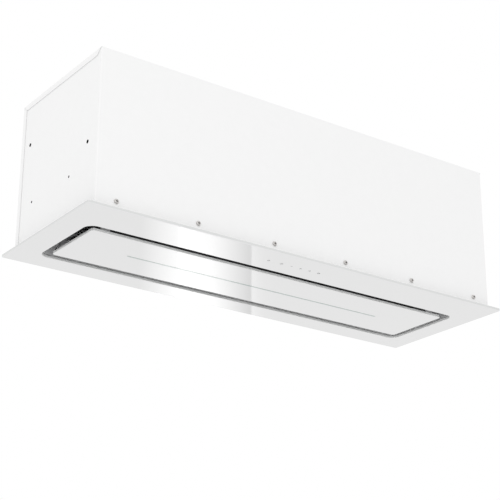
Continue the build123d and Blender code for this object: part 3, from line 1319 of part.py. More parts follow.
# ---------------------------------------------------------------- write the parts
def main():
    os.makedirs("parts", exist_ok=True)

    save("front_shell", front_shell())
    save("rear_shell", rear_shell())
    save("shell_rivets", *shell_rivets())
    save("hanger_rails", *hanger_rails())

    save("bezel_glass", bezel_glass())
    save("bezel_tape", bezel_tape())
    save("bezel_carrier", bezel_carrier())
    save("carrier_screws", *carrier_screws())
    save("touch_board", touch_board())

    save("intake_throat", intake_throat())
    save("filter_deck", filter_deck())
    for name, side in (("left", -1), ("right", 1)):
        x = side * FILTER_PITCH / 2
        save(f"{name}_filter_frame", filter_frame(x))
        save(f"{name}_filter_mesh", filter_mesh(x))
        save(f"{name}_filter_latch", filter_latch(x))
        save(f"{name}_latch_spring", latch_spring(x))

    save("panel_glass", panel_glass())
    save("panel_tape", panel_tape())
    save("panel_tray", panel_tray())
    save("light_diffuser", light_diffuser())
    save("light_channel", light_channel())
    save("light_strip", light_strip())
    save("light_chips", *light_chips())
    save("hinge_pins", *hinge_pins())
    save("hinge_brackets", *hinge_brackets())
    save("panel_catches", *panel_catches())
    save("strike_plates", *strike_plates())

    save("scroll_wrap", scroll_wrap())
    cheek = scroll_cheek()
    save("right_scroll_cheek", cheek)
    save("left_scroll_cheek", mirror(cheek, about=Plane.YZ))
    save("blower_mounts", *blower_mounts())
    save("impeller", impeller())
    save("impeller_hub", impeller_hub())
    save("drive_shaft", drive_shaft())
    save("motor_rotor", motor_rotor())
    save("motor_front_shell", motor_half(1))
    save("motor_rear_shell", motor_half(-1))
    save("motor_bearings", *motor_bearings())
    save("motor_stator", motor_stator())
    save("motor_windings", *motor_windings())
    save("motor_bracket", motor_bracket())

    save("discharge_box", discharge_box())
    save("mouth_seal", mouth_seal())
    save("duct_collar", duct_collar())
    save("collar_screws", *collar_screws())
    save("flap_pin", flap_pin())
    save("front_flap", outlet_flap(0))
    save("rear_flap", outlet_flap(180))

    save("control_box", control_box())
    save("control_lid", control_lid())
    save("control_board", control_board())
    save("terminal_block", terminal_block())
    save("cable_gland", cable_gland())
    save("light_driver", light_driver())
    save("run_capacitor", run_capacitor())
    save("capacitor_clip", capacitor_clip())
    save("internal_leads", *internal_leads())


main()
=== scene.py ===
import json
import math

import bmesh
import bpy
from mathutils import Matrix, Vector

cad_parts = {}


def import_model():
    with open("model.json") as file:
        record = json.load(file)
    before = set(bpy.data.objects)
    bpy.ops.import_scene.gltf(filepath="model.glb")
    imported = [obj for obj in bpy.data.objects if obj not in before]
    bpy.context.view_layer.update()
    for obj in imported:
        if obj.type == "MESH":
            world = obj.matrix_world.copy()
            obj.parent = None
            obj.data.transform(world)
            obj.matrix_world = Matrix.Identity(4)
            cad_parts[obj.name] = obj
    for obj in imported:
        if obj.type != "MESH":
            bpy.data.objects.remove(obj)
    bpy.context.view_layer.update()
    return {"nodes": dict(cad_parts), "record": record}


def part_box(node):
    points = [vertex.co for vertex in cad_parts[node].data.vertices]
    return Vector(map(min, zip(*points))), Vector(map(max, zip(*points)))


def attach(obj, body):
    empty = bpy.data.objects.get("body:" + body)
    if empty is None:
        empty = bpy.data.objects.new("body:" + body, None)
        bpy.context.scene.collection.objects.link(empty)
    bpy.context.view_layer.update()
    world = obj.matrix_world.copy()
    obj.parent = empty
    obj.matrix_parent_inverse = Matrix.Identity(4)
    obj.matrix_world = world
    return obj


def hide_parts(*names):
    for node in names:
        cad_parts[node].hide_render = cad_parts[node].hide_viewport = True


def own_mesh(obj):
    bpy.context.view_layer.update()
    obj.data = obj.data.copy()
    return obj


MM = 0.001
SINK = 0.2 * MM                           # how far a detail is let into what carries it

# ---------------------------------------------------------------- camera
CAMERA_AT = (-1.40910, -1.91688, -1.13508)
CAMERA_RIGHT = (0.81136818, -0.58452819, 0.00290994)
CAMERA_DOWN = (0.21212146, 0.28979405, -0.93328661)
CAMERA_FORWARD = (0.54468905, 0.75785632, 0.35912065)
SENSOR = 36.0
FOCAL_PX = 1385.89
FRAME_PX = 500.0
CLIP_END = 500.0

# ---------------------------------------------------------------- stage and light
FLOOR_Z = -3.2
FLOOR_HALF = 60.0
FLOOR_COLOR = (0.88, 0.88, 0.88, 1.0)
WORLD_LEVEL = 1.0
CARD_DISTANCE = 6.0                       # from the camera, along the ground
CARD_LOW = -2.6
CARD_HIGH = -0.9
CARD_LEFT = -0.507
CARD_RIGHT = 0.117
CARD_STOPS = (                            # share of the card's width, brightness
    (0.0, 1.0),
    (0.278, 2.34),
    (0.283, 2.9),
    (0.476, 2.45),
    (0.539, 2.28),
    (0.822, 0.42),
    (0.826, 1.45),
    (0.875, 1.2),
    (0.92, 1.08),
    (1.0, 1.0),
)
KEY_POWER = 7.0
KEY_SIZE = 1.6
KEY_AT = (-1.6, -2.4, 0.3)
FILL_POWER = 0.9
FILL_SIZE = 1.4
FILL_AT = (-2.3, 0.3, 0.4)
AIM = (0.0, 0.0, -0.15)

TONE_SPAN = (0.3, 0.7)                    # of a noise, from a coat's darker tone to its lighter

# ---------------------------------------------------------------- casing: where its coats lie
CASE_MIDDLE = (0.0, 0.0, -0.142)
CASE_INSIDE_X = 432.8 * MM                # short of the lips over the end plates
CASE_INSIDE_Y = 137.2 * MM
PLATE_X = 431.5 * MM                      # the end plates' sheet starts here
PLATE_HALF_Y = 120.0 * MM                 # plain part of an end plate, clear of its bends and lips
PLATE_HALF_Z = 120.0 * MM
SIDEWAYS = 0.5                            # an end plate's faces that look less far along X are its edges
PRIMER = (0.16, 0.165, 0.17)              # inner faces of the casing
HOLE_PAINTED_SHADE = (0.015, 0.015, 0.015)           # near-black on the walls of the punched holes: painted shade, so the holes read dark
SEAM_PAINTED_SHADE = (0.72, 0.72, 0.72)             # darker grey on the cut edges of the lips: painted shade that draws the seam lines

# ---------------------------------------------------------------- glass: where its edges lie
OUTER_EDGE_X = 440.0 * MM                 # beyond these only the bezel's outer edge stands
OUTER_EDGE_Y = 140.0 * MM
EDGE_TURN = (0.15, 0.35)                  # upright share of the normal, from full edge to full face
BACK_TURN = 0.9                           # faces of the glass that look up further are its back
GLASS_PAINT = (0.832, 0.832, 0.832)
GLASS_BACK_PAINTED_SHADE = (0.15, 0.15, 0.152)          # dark on the unseen side of the glass: painted shade, so it throws little light onto the casing's foot
INNER_EDGE = ((0.81, 0.82, 0.816), (0.93, 0.936, 0.934))
OUTER_EDGE = ((0.65, 0.658, 0.655), (0.75, 0.757, 0.754))
EDGE_LINES = (0.30, 0.74)                 # where the lines of a ground edge go from dark to pale
EDGE_STRETCH = (40.0, 40.0, 4200.0)
POLISHED = 0.03                           # roughness of the glass's face
GROUND = 0.22                             # and of its edge
GLASS_IOR = 1.5

# ---------------------------------------------------------------- screw recesses and fine layer
RECESS_PAINTED_SHADE = (0.02, 0.02, 0.02)               # painted shade in the recess of a screw
CAVITY_RANGE = (0.52, 0.90)               # open share of the view, from full shade to none
CAVITY_REACH = 1.6 * MM
CAVITY_RAYS = 12
STRAND = (0.50, 0.51, 0.52)
# openings between the strands: painted shade, near-black
STRAND_GAP_PAINTED_SHADE = (0.012, 0.012, 0.012)
STRAND_SPAN = (0.62, 0.86)                # from gap to strand
STRAND_TURN = 35.0                        # degrees either side of the filter's length
STRAND_SCALE = 95.0                       # a strand every 3.3 mm

# ---------------------------------------------------------------- touch marks
MARK_THICK = 0.04 * MM
MARK_LINE = 0.9 * MM
MARK_Y = -109.5 * MM
MARK_R = 2.6                              # lengths from here on are millimetres about a key
MARK_STEPS = 24
RING_SWEEP = (0, 342)                     # degrees, closed by the ring's last side
POWER_SWEEP = (300, 600)                  # open where the stroke stands
POWER_STROKE = (-3.4, -0.4)
HAND_LONG = 1.8
HAND_SHORT = 1.4
CHEVRON = 2.4
CHEVRON_TIPS = (-2.4, 0.2)
LAMP_R = 1.5
LAMP_STEPS = 16
LAMP_RAYS = 6
LAMP_RAY = (2.3, 3.4)

# ---------------------------------------------------------------- filters and their latches
LAYER_SHEET = 0.4 * MM
LAYER_PITCH = 6.0 * MM
LAYER_PLAY = 0.6 * MM
FRAME_END_BAR = 8.0 * MM
FRAME_BACK_BAR = 8.0 * MM
FRAME_FRONT_BAR = 26.0 * MM
SPRING_LEAF = 0.4 * MM
SPRING_STEPS = 32

# ---------------------------------------------------------------- collar, gland and rivets
COLLAR_R = 75.0 * MM
COLLAR_STEPS = 96
BEAD_WIDTH = 4.4 * MM
BEAD_PROUD = 1.3 * MM
BEADS_BELOW_RIM = (9.0 * MM, 17.0 * MM)
GLAND_DOME_R = 11.5 * MM
GLAND_RIBS = 18
GLAND_RIB_Z = (6.0 * MM, 14.0 * MM)
GLAND_RIB_PROUD = 0.5 * MM
GLAND_RIB_WIDTH = 1.5 * MM
GLAND_BORE_R = 4.0 * MM
GLAND_LIP_BELOW_TOP = (2.0 * MM, 0.4 * MM)
GLAND_LIP_PROUD = 1.2 * MM
GLAND_WASHER_R = 14.6 * MM
GLAND_WASHER_WIDTH = 3.0 * MM
GLAND_WASHER_HEIGHT = 1.4 * MM
GLAND_WASHER_ROUND = 0.5 * MM
RIVET_COUNT = 7
RIVET_HEAD_R = 3.2 * MM
MANDREL_R = 1.1 * MM
MANDREL_PROUD = 0.15 * MM
MANDREL_STEPS = 20

# ---------------------------------------------------------------- door tray
TRAY_SHEET = 1.0 * MM
TRAY_BEAD_END = 42.0 * MM                 # tray's end to the bead
TRAY_BEAD_SIDE = 27.0 * MM                # tray's side to the bead
TRAY_BEAD_WIDTH = 9.0 * MM
TRAY_BEAD = 1.8 * MM
CHANNEL_RIVETS = 6
CHANNEL_RIVET_END = 12.0 * MM
CHANNEL_RIVET_R = 2.6 * MM
CHANNEL_RIVET = 0.9 * MM
CHANNEL_RIVET_STEPS = 24


# ---------------------------------------------------------------- material helpers
class Shade:
    """Small builder for one procedural material."""

    def __init__(self, name, color, rough, metallic=0.0):
        self.material = bpy.data.materials.new(name)
        self.material.use_nodes = True
        self.tree = self.material.node_tree
        self.nodes = self.tree.nodes
        self.shader = self.nodes["Principled BSDF"]
        self.put("Metallic", metallic)
        self.put("Roughness", rough)
        self.put("Base Color", (*color, 1.0))
        self.color = color
        self.rough = rough
        self.place = self.nodes.new("ShaderNodeTexCoord").outputs["Object"]
        self.normal = None

    def link(self, a, b):
        self.tree.links.new(a, b)

    def put(self, name, value):
        self.shader.inputs[name].default_value = value

    def paint(self, value):
        self.link(value, self.shader.inputs["Base Color"])

    def painted(self):
        """What the base colour is linked to so far."""
        return self.shader.inputs["Base Color"].links[0].from_socket

    def mapped(self, setting, value):
        """Object coordinates stretched or turned."""
        node = self.nodes.new("ShaderNodeMapping")
        node.inputs[setting].default_value = value
        self.link(self.place, node.inputs["Vector"])
        return node.outputs["Vector"]

    def noise(self, scale, detail=3.0, stretch=None):
        node = self.nodes.new("ShaderNodeTexNoise")
        node.inputs["Scale"].default_value = scale
        node.inputs["Detail"].default_value = detail
        self.link(self.mapped("Scale", stretch) if stretch else self.place, node.inputs["Vector"])
        return node.outputs["Fac"]

    def cells(self, scale, feature="F1", output="Distance"):
        node = self.nodes.new("ShaderNodeTexVoronoi")
        node.feature = feature
        node.inputs["Scale"].default_value = scale
        self.link(self.place, node.inputs["Vector"])
        return node.outputs[output]

    def wave(self, scale, place=None):
        node = self.nodes.new("ShaderNodeTexWave")
        node.inputs["Scale"].default_value = scale
        self.link(self.place if place is None else place, node.inputs["Vector"])
        return node

    def ramp(self, value, low, high, span):
        """Colour that goes from low to high over a span of the value."""
        node = self.nodes.new("ShaderNodeValToRGB")
        for stop, position, color in zip(node.color_ramp.elements, span, (low, high)):
            stop.position = position
            stop.color = (*color, 1.0)
        self.link(value, node.inputs["Fac"])
        return node.outputs["Color"]

    def remap(self, value, low, high, source=(0.0, 1.0)):
        node = self.nodes.new("ShaderNodeMapRange")
        node.inputs["From Min"].default_value = source[0]
        node.inputs["From Max"].default_value = source[1]
        node.inputs["To Min"].default_value = low
        node.inputs["To Max"].default_value = high
        self.link(value, node.inputs["Value"])
        return node.outputs["Result"]

    def math(self, operation, a, b=0.0):
        node = self.nodes.new("ShaderNodeMath")
        node.operation = operation
        for socket, value in zip(node.inputs, (a, b)):
            if isinstance(value, float):
                socket.default_value = value
            else:
                self.link(value, socket)
        return node.outputs["Value"]

    def size_of(self, value):
        return self.math("ABSOLUTE", value)

    def under(self, value, limit):
        return self.math("LESS_THAN", value, limit)

    def over(self, value, limit):
        return self.math("GREATER_THAN", value, limit)

    def both(self, a, b):
        return self.math("MULTIPLY", a, b)

    def split(self, vector):
        node = self.nodes.new("ShaderNodeSeparateXYZ")
        self.link(vector, node.inputs["Vector"])
        return node.outputs

    def facing(self):
        """The face's own normal, which turns with the piece."""
        node = self.nodes.new("ShaderNodeVectorTransform")
        node.vector_type = "NORMAL"
        node.convert_from = "WORLD"
        node.convert_to = "OBJECT"
        self.link(self.nodes.new("ShaderNodeNewGeometry").outputs["True Normal"], node.inputs["Vector"])
        return node.outputs["Vector"]

    def plain(self, color):
        node = self.nodes.new("ShaderNodeRGB")
        node.outputs["Color"].default_value = (*color, 1.0)
        return node.outputs["Color"]

    def blend(self, share, low, high):
        node = self.nodes.new("ShaderNodeMix")
        node.data_type = "RGBA"
        for socket, value in (("Factor", share), ("A", low), ("B", high)):
            self.link(value, node.inputs[socket])
        return node.outputs["Result"]

    def tint(self, value, amount):
        """Base colour that goes a little darker and lighter with a value."""
        low = tuple(c * (1 - amount) for c in self.color)
        high = tuple(min(1.0, c * (1 + amount)) for c in self.color)
        self.paint(self.ramp(value, low, high, TONE_SPAN))

    def roughen(self, value, spread):
        rough = self.remap(value, self.rough - spread, self.rough + spread)
        self.link(rough, self.shader.inputs["Roughness"])

    def bump(self, value, height, strength=1.0):
        node = self.nodes.new("ShaderNodeBump")
        node.inputs["Strength"].default_value = strength
        node.inputs["Distance"].default_value = height
        self.link(value, node.inputs["Height"])
        if self.normal is not None:
            self.link(self.normal, node.inputs["Normal"])
        self.normal = node.outputs["Normal"]
        self.link(self.normal, self.shader.inputs["Normal"])


# ---------------------------------------------------------------- materials
def powder_coat(name, color, rough, height=0.00002):
    """Powder coat: fine orange peel and a faint change of tone."""
    shade = Shade(name, color, rough)
    shade.tint(shade.noise(scale=60.0), amount=0.004)
    shade.roughen(shade.noise(scale=260.0, detail=2.0), spread=0.05)
    shade.bump(shade.noise(scale=900.0, detail=2.0), height)
    return shade


def casing_coat(name, color, rough):
    """White coat outside, primer on the inner faces, painted shade as a darker grey on the lips' cut edges,
    and painted shade as near-black on the walls of the punched holes.
    """
    shade = powder_coat(name, color, rough)
    facing = shade.facing()
    from_middle = shade.nodes.new("ShaderNodeVectorMath")
    from_middle.operation = "SUBTRACT"
    from_middle.inputs[1].default_value = CASE_MIDDLE
    shade.link(shade.place, from_middle.inputs[0])
    outward = shade.nodes.new("ShaderNodeVectorMath")
    outward.operation = "DOT_PRODUCT"
    shade.link(from_middle.outputs["Vector"], outward.inputs[0])
    shade.link(facing, outward.inputs[1])

    place = shade.split(shade.place)
    reach_x = shade.size_of(place["X"])
    reach_y = shade.size_of(place["Y"])
    reach_z = shade.size_of(shade.split(from_middle.outputs["Vector"])["Z"])
    sideways = shade.size_of(shade.split(facing)["X"])

    inside = shade.under(outward.outputs["Value"], 0.0)
    inside = shade.both(inside, shade.under(reach_x, CASE_INSIDE_X))
    inside = shade.both(inside, shade.under(reach_y, CASE_INSIDE_Y))
    # edge faces of the end plates and lips: painted shade, a darker grey that draws the seam lines
    edge = shade.both(shade.over(reach_x, PLATE_X), shade.under(reach_y, CASE_INSIDE_Y))
    edge = shade.both(edge, shade.under(sideways, SIDEWAYS))
    # walls of the punched holes: painted shade, near-black, so the holes read dark
    hole_painted_shade = shade.both(edge, shade.under(reach_y, PLATE_HALF_Y))
    hole_painted_shade = shade.both(hole_painted_shade, shade.under(reach_z, PLATE_HALF_Z))

    coat = shade.painted()
    for share, color in ((inside, PRIMER), (edge, SEAM_PAINTED_SHADE), (hole_painted_shade, HOLE_PAINTED_SHADE)):
        coat = shade.blend(share, coat, shade.plain(color))
    shade.paint(coat)
    return shade


def sheet_metal(name, color, rough):
    """Zinc-coated sheet: flat crystals of slightly different brightness."""
    shade = Shade(name, color, rough, metallic=1.0)
    tone = shade.nodes.new("ShaderNodeSeparateColor")
    shade.link(shade.cells(scale=150.0, output="Color"), tone.inputs["Color"])
    shade.tint(tone.outputs["Red"], amount=0.07)
    shade.roughen(tone.outputs["Green"], spread=0.07)
    shade.bump(shade.noise(scale=1500.0, detail=2.0), height=0.000012)
    return shade


def rolled_metal(name, color, rough, stretch=(8.0, 700.0, 700.0)):
    """Drawn or rolled metal: fine lines along one axis."""
    shade = Shade(name, color, rough, metallic=1.0)
    lines = shade.noise(scale=1.0, stretch=stretch)
    shade.tint(lines, amount=0.06)
    shade.roughen(lines, spread=0.07)
    shade.bump(lines, height=0.000010)
    return shade


def turned_metal(name, color, rough, cavity=0.0):
    """Small turned or pressed steel pieces with a grainy plating, and painted shade in their recesses."""
    shade = Shade(name, color, rough, metallic=1.0)
    shade.tint(shade.noise(scale=1200.0), amount=0.12)
    shade.roughen(shade.noise(scale=500.0), spread=0.10)
    shade.bump(shade.noise(scale=2600.0, detail=2.0), height=0.000012)
    # painted shade in the recesses, darker where less of the view is open
    if cavity:
        hollow = shade.nodes.new("ShaderNodeAmbientOcclusion")
        hollow.samples = CAVITY_RAYS
        hollow.only_local = True
        hollow.inputs["Distance"].default_value = cavity
        share = shade.remap(hollow.outputs["AO"], 0.0, 1.0, CAVITY_RANGE)
        shade.paint(shade.blend(share, shade.plain(RECESS_PAINTED_SHADE), shade.painted()))
    return shade


def moulded(name, color, rough, grain=2200.0, height=0.00003):
    """Moulded plastic or rubber with a fine eroded texture."""
    shade = Shade(name, color, rough)
    shade.tint(shade.noise(scale=40.0, detail=4.0), amount=0.05)
    shade.roughen(shade.noise(scale=600.0, detail=2.0), spread=0.06)
    shade.bump(shade.noise(scale=grain), height)
    return shade


def back_painted_glass(name):
    """White glass: painted behind, polished face, ground edge with fine lines, and the faces that look up
    painted dark as painted shade for the casing's foot.
    """
    shade = Shade(name, GLASS_PAINT, POLISHED)
    shade.put("IOR", GLASS_IOR)
    shade.tint(shade.noise(scale=5.0, detail=2.0), amount=0.003)
    lines = shade.noise(scale=1.0, stretch=EDGE_STRETCH)
    inner, outer = (shade.ramp(lines, *tones, EDGE_LINES) for tones in (INNER_EDGE, OUTER_EDGE))
    place = shade.split(shade.place)
    past_x = shade.over(shade.size_of(place["X"]), OUTER_EDGE_X)
    past_y = shade.over(shade.size_of(place["Y"]), OUTER_EDGE_Y)
    edge = shade.blend(shade.math("MAXIMUM", past_x, past_y), inner, outer)
    upright = shade.split(shade.facing())["Z"]
    share = shade.remap(shade.size_of(upright), 1.0, 0.0, EDGE_TURN)
    shown = shade.blend(share, shade.painted(), edge)
    # faces that look up are painted dark: painted shade, so they throw little light onto the casing's foot
    shade.paint(shade.blend(shade.over(upright, BACK_TURN), shown, shade.plain(GLASS_BACK_PAINTED_SHADE)))
    shade.link(shade.remap(share, POLISHED, GROUND), shade.shader.inputs["Roughness"])
    shade.bump(shade.noise(scale=7.0, detail=1.0), height=0.00012, strength=0.25)
    return shade


def frosted_bar(name):
    """Light window: frosted inside, its outer face as smooth as the glass round it."""
    shade = Shade(name, (0.46, 0.52, 0.50), 0.05)
    shade.put("IOR", GLASS_IOR)
    shade.put("Subsurface Weight", 0.25)
    shade.put("Subsurface Radius", (0.002, 0.002, 0.002))
    shade.tint(shade.noise(scale=120.0), amount=0.04)
    return shade


def solder_resist(name):
    """Circuit board: green resist over darker tracks."""
    shade = Shade(name, (0.035, 0.17, 0.09), 0.32)
    tracks = shade.cells(scale=160.0, feature="DISTANCE_TO_EDGE")
    shade.paint(shade.ramp(tracks, (0.05, 0.24, 0.12), (0.03, 0.15, 0.08), (0.05, 0.09)))
    shade.roughen(shade.noise(scale=300.0), spread=0.05)
    shade.bump(tracks, height=0.00003, strength=0.6)
    return shade


def wound_copper(name):
    """Enamelled wire in fine even turns."""
    shade = Shade(name, (0.62, 0.27, 0.12), 0.30, metallic=0.9)
    turns = shade.wave(scale=320.0)
    turns.wave_type = "RINGS"
    turns.rings_direction = "X"
    turns.inputs["Distortion"].default_value = 1.5
    shade.tint(turns.outputs["Fac"], amount=0.25)
    shade.bump(turns.outputs["Fac"], height=0.0002)
    return shade


def phosphor(name):
    """Yellow gel over a light chip."""
    shade = Shade(name, (0.90, 0.82, 0.42), 0.25)
    shade.tint(shade.noise(scale=900.0, detail=2.0), amount=0.10)
    shade.bump(shade.noise(scale=1500.0), height=0.00004)
    return shade


def expanded_aluminium(name):
    """Fine expanded aluminium: bright strands, with the lozenge openings between them painted near-black as
    painted shade.
    """
    shade = Shade(name, STRAND, 0.38, metallic=1.0)
    strands = []
    for turn in (STRAND_TURN, -STRAND_TURN):
        bands = shade.wave(STRAND_SCALE, shade.mapped("Rotation", (0.0, 0.0, math.radians(turn))))
        bands.bands_direction = "Y"
        strands.append(bands.outputs["Fac"])
    mesh = shade.math("MAXIMUM", *strands)
    # openings between the strands are painted near-black: painted shade
    shade.paint(shade.ramp(mesh, STRAND_GAP_PAINTED_SHADE, STRAND, STRAND_SPAN))
    shade.roughen(shade.noise(scale=300.0), spread=0.06)
    shade.bump(mesh, height=0.0003)
    return shade


# ---------------------------------------------------------------- mesh helpers
def finish_mesh(name, bm, body, slot, smooth=False, shade=None):
    """Scene piece from a finished bmesh, riding on a body, in its slot's material or its own."""
    bmesh.ops.recalc_face_normals(bm, faces=bm.faces)
    mesh = bpy.data.meshes.new(name)
    bm.normal_update()
    bm.to_mesh(mesh)
    bm.free()
    for polygon in mesh.polygons:
        polygon.use_smooth = smooth
    mesh.materials.append((shade or SHADES[slot]).material)
    piece = bpy.data.objects.new(name, mesh)
    bpy.context.scene.collection.objects.link(piece)
    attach(piece, body)
    return piece


def flat_strip(bm, path, width, low, high, closed=False):
    """Band of a given width along a path in the XY plane, between two heights."""
    count = len(path)
    rings = []
    for i, point in enumerate(path):
        before = path[(i - 1) % count] if closed or i else point
        after = path[(i + 1) % count] if closed or i < count - 1 else point
        along = (Vector(after) - Vector(before)).normalized()
        side = Vector((-along.y, along.x)) * width / 2
        left = Vector(point) + side
        right = Vector(point) - side
        corners = ((left, low), (right, low), (right, high), (left, high))
        rings.append([bm.verts.new((p.x, p.y, z)) for p, z in corners])
    steps = count if closed else count - 1
    for i in range(steps):
        a, b = rings[i], rings[(i + 1) % count]
        for k in range(4):
            m = (k + 1) % 4
            bm.faces.new((a[k], a[m], b[m], b[k]))
    if not closed:
        bm.faces.new(rings[0][::-1])
        bm.faces.new(rings[-1])


def turned(bm, centre, profile, steps=48):
    """Solid or ring turned about a vertical axis from (radius, height) points."""
    first = len(bm.verts)
    rows = []
    for i in range(steps):
        angle = math.tau * i / steps
        x, y = math.cos(angle), math.sin(angle)
        rows.append([bm.verts.new((centre[0] + r * x, centre[1] + r * y, z)) for r, z in profile])
    for i in range(steps):
        a, b = rows[i], rows[(i + 1) % steps]
        for k in range(len(profile)):
            m = (k + 1) % len(profile)
            if profile[k][0] or profile[m][0]:
                bm.faces.new((a[k], b[k], b[m], a[m]))
    bm.verts.ensure_lookup_table()
    bmesh.ops.remove_doubles(bm, verts=bm.verts[first:], dist=1e-7)


def half_round(low, high, radius, proud, steps=8):
    """Profile of a bead that stands out from a wall of the given radius."""
    middle, reach = (low + high) / 2, (high - low) / 2
    turns = [math.pi * (i / steps - 0.5) for i in range(steps + 1)]
    return [(radius + proud * math.cos(t), middle + reach * math.sin(t)) for t in turns]


def dome(low, radius, height, steps=6):
    """Profile of a low domed head that sits on a face."""
    turns = [math.pi / 2 * i / steps for i in range(steps + 1)]
    curve = [(radius * math.cos(t), low + height * math.sin(t)) for t in turns[:-1]]
    return [(0.0, low), *curve, (0.0, low + height)]


def long_bead(bm, start, end, y, floor, width, height, steps=8):
    """Stiffening bead along X with drawn-in ends."""
    inset = [(1 - math.cos(math.pi / 2 * i / steps)) for i in range(steps + 1)]
    stations = [(start + width * share, math.sin(math.acos(1 - share))) for share in inset[1:]]
    stations += [(end - width * share, math.sin(math.acos(1 - share))) for share in inset[:0:-1]]
    rows = []
    for x, scale in stations:
        row = []
        for k in range(steps + 1):
            turn = math.pi * k / steps
            reach = -width / 2 * scale * math.cos(turn)
            row.append(bm.verts.new((x, y + reach, floor + height * scale * math.sin(turn))))
        rows.append(row)
    for a, b in zip(rows, rows[1:]):
        for k in range(steps):
            bm.faces.new((a[k], b[k], b[k + 1], a[k + 1]))
        bm.faces.new((a[0], a[-1], b[-1], b[0]))
    bm.faces.new(rows[0])
    bm.faces.new(rows[-1][::-1])


def arc(centre, radius, start, end, steps):
    """Points of an arc in the XY plane, angles in degrees."""
    points = []
    for i in range(steps + 1):
        angle = math.radians(start + (end - start) * i / steps)
        points.append((centre[0] + radius * math.cos(angle), centre[1] + radius * math.sin(angle)))
    return points


def middle_of(node):
    """Middle of a node's box, seen from above."""
    low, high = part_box(node)
    return ((low.x + high.x) / 2, (low.y + high.y) / 2)


# ---------------------------------------------------------------- the hood and its finishes
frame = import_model()

SHADES = {
    "white_paint": casing_coat("white_powder_coat", (0.90, 0.90, 0.90), 0.36),
    "white_glass": back_painted_glass("white_back_painted_glass"),
    "bonding_tape": moulded("black_foam_tape", (0.03, 0.03, 0.03), 0.8, 900.0, 0.0002),
    "zinc_steel": sheet_metal("zinc_coated_sheet", (0.62, 0.63, 0.645), 0.34),
    "grey_paint": powder_coat("grey_powder_coat", (0.70, 0.705, 0.71), 0.45),
    "dark_paint": powder_coat("dark_matt_coat", (0.035, 0.035, 0.038), 0.6),
    "screw_steel": turned_metal("plated_screw_steel", (0.60, 0.585, 0.57), 0.30, CAVITY_REACH),
    "filter_aluminium": rolled_metal("filter_aluminium", (0.50, 0.51, 0.52), 0.34),
    "black_plastic": moulded("black_plastic", (0.035, 0.035, 0.038), 0.45),
    "spring_steel": turned_metal("bright_spring_steel", (0.55, 0.55, 0.57), 0.22),
    "diffuser": frosted_bar("frosted_diffuser"),
    "circuit_board": solder_resist("green_circuit_board"),
    "light_chip": phosphor("light_chip_phosphor"),
    "grey_plastic": moulded("grey_plastic", (0.30, 0.31, 0.32), 0.42),
    "motor_steel": rolled_metal("pressed_motor_steel", (0.46, 0.47, 0.48), 0.36, (600.0, 30.0, 30.0)),
    "copper": wound_copper("enamelled_copper"),
    "rubber": moulded("black_rubber", (0.028, 0.028, 0.028), 0.7, 1400.0, 0.00006),
    "white_plastic": moulded("white_plastic", (0.80, 0.80, 0.78), 0.4),
}

FRAME_SHADE = rolled_metal("filter_frame_aluminium", (0.40, 0.41, 0.42), 0.38)
FINISHES = {                              # nodes whose finish differs from their slot's
    "bezel_tape": moulded("pale_foam_tape", (0.62, 0.62, 0.62), 0.7, 900.0, 0.0001),
    "bezel_carrier": powder_coat("pale_carrier_coat", (0.70, 0.70, 0.70), 0.45),
    "strike_plates": powder_coat("pale_strike_coat", (0.62, 0.62, 0.62), 0.4),
    "panel_catches": moulded("pale_catch_plastic", (0.55, 0.55, 0.56), 0.45),
    "filter_deck": powder_coat("dark_deck_coat", (0.24, 0.245, 0.25), 0.5),
    "left_filter_frame": FRAME_SHADE,
    "right_filter_frame": FRAME_SHADE,
    "hinge_brackets": powder_coat("pale_bracket_coat", (0.60, 0.60, 0.61), 0.4),
    "hinge_pins": turned_metal("bright_pin_steel", (0.80, 0.80, 0.80), 0.25),
}
MARK_INK = moulded("grey_mark_ink", (0.13, 0.135, 0.14), 0.5)
LAYER_SHADE = expanded_aluminium("fine_expanded_aluminium")


def dress_nodes():
    """Every node in its own finish, or else in its slot's."""
    slot_of = {part["node"]: part["material_slot"] for part in frame["record"]["subparts"]}
    for name, node in frame["nodes"].items():
        shade = FINISHES.get(name, SHADES[slot_of[name]])
        node.data.materials.clear()
        node.data.materials.append(shade.material)


# ---------------------------------------------------------------- touch marks
def mark(name, x, size, paths):
    """Thin printed mark on the glass, from open or closed paths about its key."""
    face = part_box("bezel_glass")[0].z
    bm = bmesh.new()
    for path, closed in paths:
        spots = [((x + size * along) * MM, MARK_Y + size * across * MM) for along, across in path]
        flat_strip(bm, spots, MARK_LINE, face - MARK_THICK, face + MARK_THICK, closed)
    finish_mesh(name, bm, "casing", "black_plastic", shade=MARK_INK)


def timer_mark():
    hands = ((0, -HAND_LONG), (0, 0), (HAND_SHORT, 0))
    return [(arc((0, 0), MARK_R, *RING_SWEEP, MARK_STEPS), True), (hands, False)]


def minus_mark():
    return [(((-MARK_R, 0), (MARK_R, 0)), False)]


def power_mark():
    stroke = [(0, across) for across in POWER_STROKE]
    return [(arc((0, 0), MARK_R, *POWER_SWEEP, MARK_STEPS), False), (stroke, False)]


def plus_mark():
    return [*minus_mark(), (((0, -MARK_R), (0, MARK_R)), False)]


def boost_mark():
    chevrons = []
    for tip in CHEVRON_TIPS:
        chevrons.append((((-CHEVRON, tip + CHEVRON), (0, tip), (CHEVRON, tip + CHEVRON)), False))
    return chevrons


def light_mark():
    step = 360 / LAMP_RAYS
    rays = [(arc((0, 0), LAMP_R, *RING_SWEEP, LAMP_STEPS), True)]
    for i in range(LAMP_RAYS):
        turn = math.radians(step * i + step / 2)
        rays.append(([(r * math.cos(turn), r * math.sin(turn)) for r in LAMP_RAY], False))
    return rays


MARKS = (                                 # place along the bezel in millimetres, size, name, drawing
    (-70.0, 0.75, "power", power_mark),
    (-42.0, 1.0, "light", light_mark),
    (-20.0, 0.75, "minus", minus_mark),
    (0.0, 1.0, "plus", plus_mark),
    (20.0, 0.85, "boost", boost_mark),
    (40.0, 0.9, "timer", timer_mark),
)


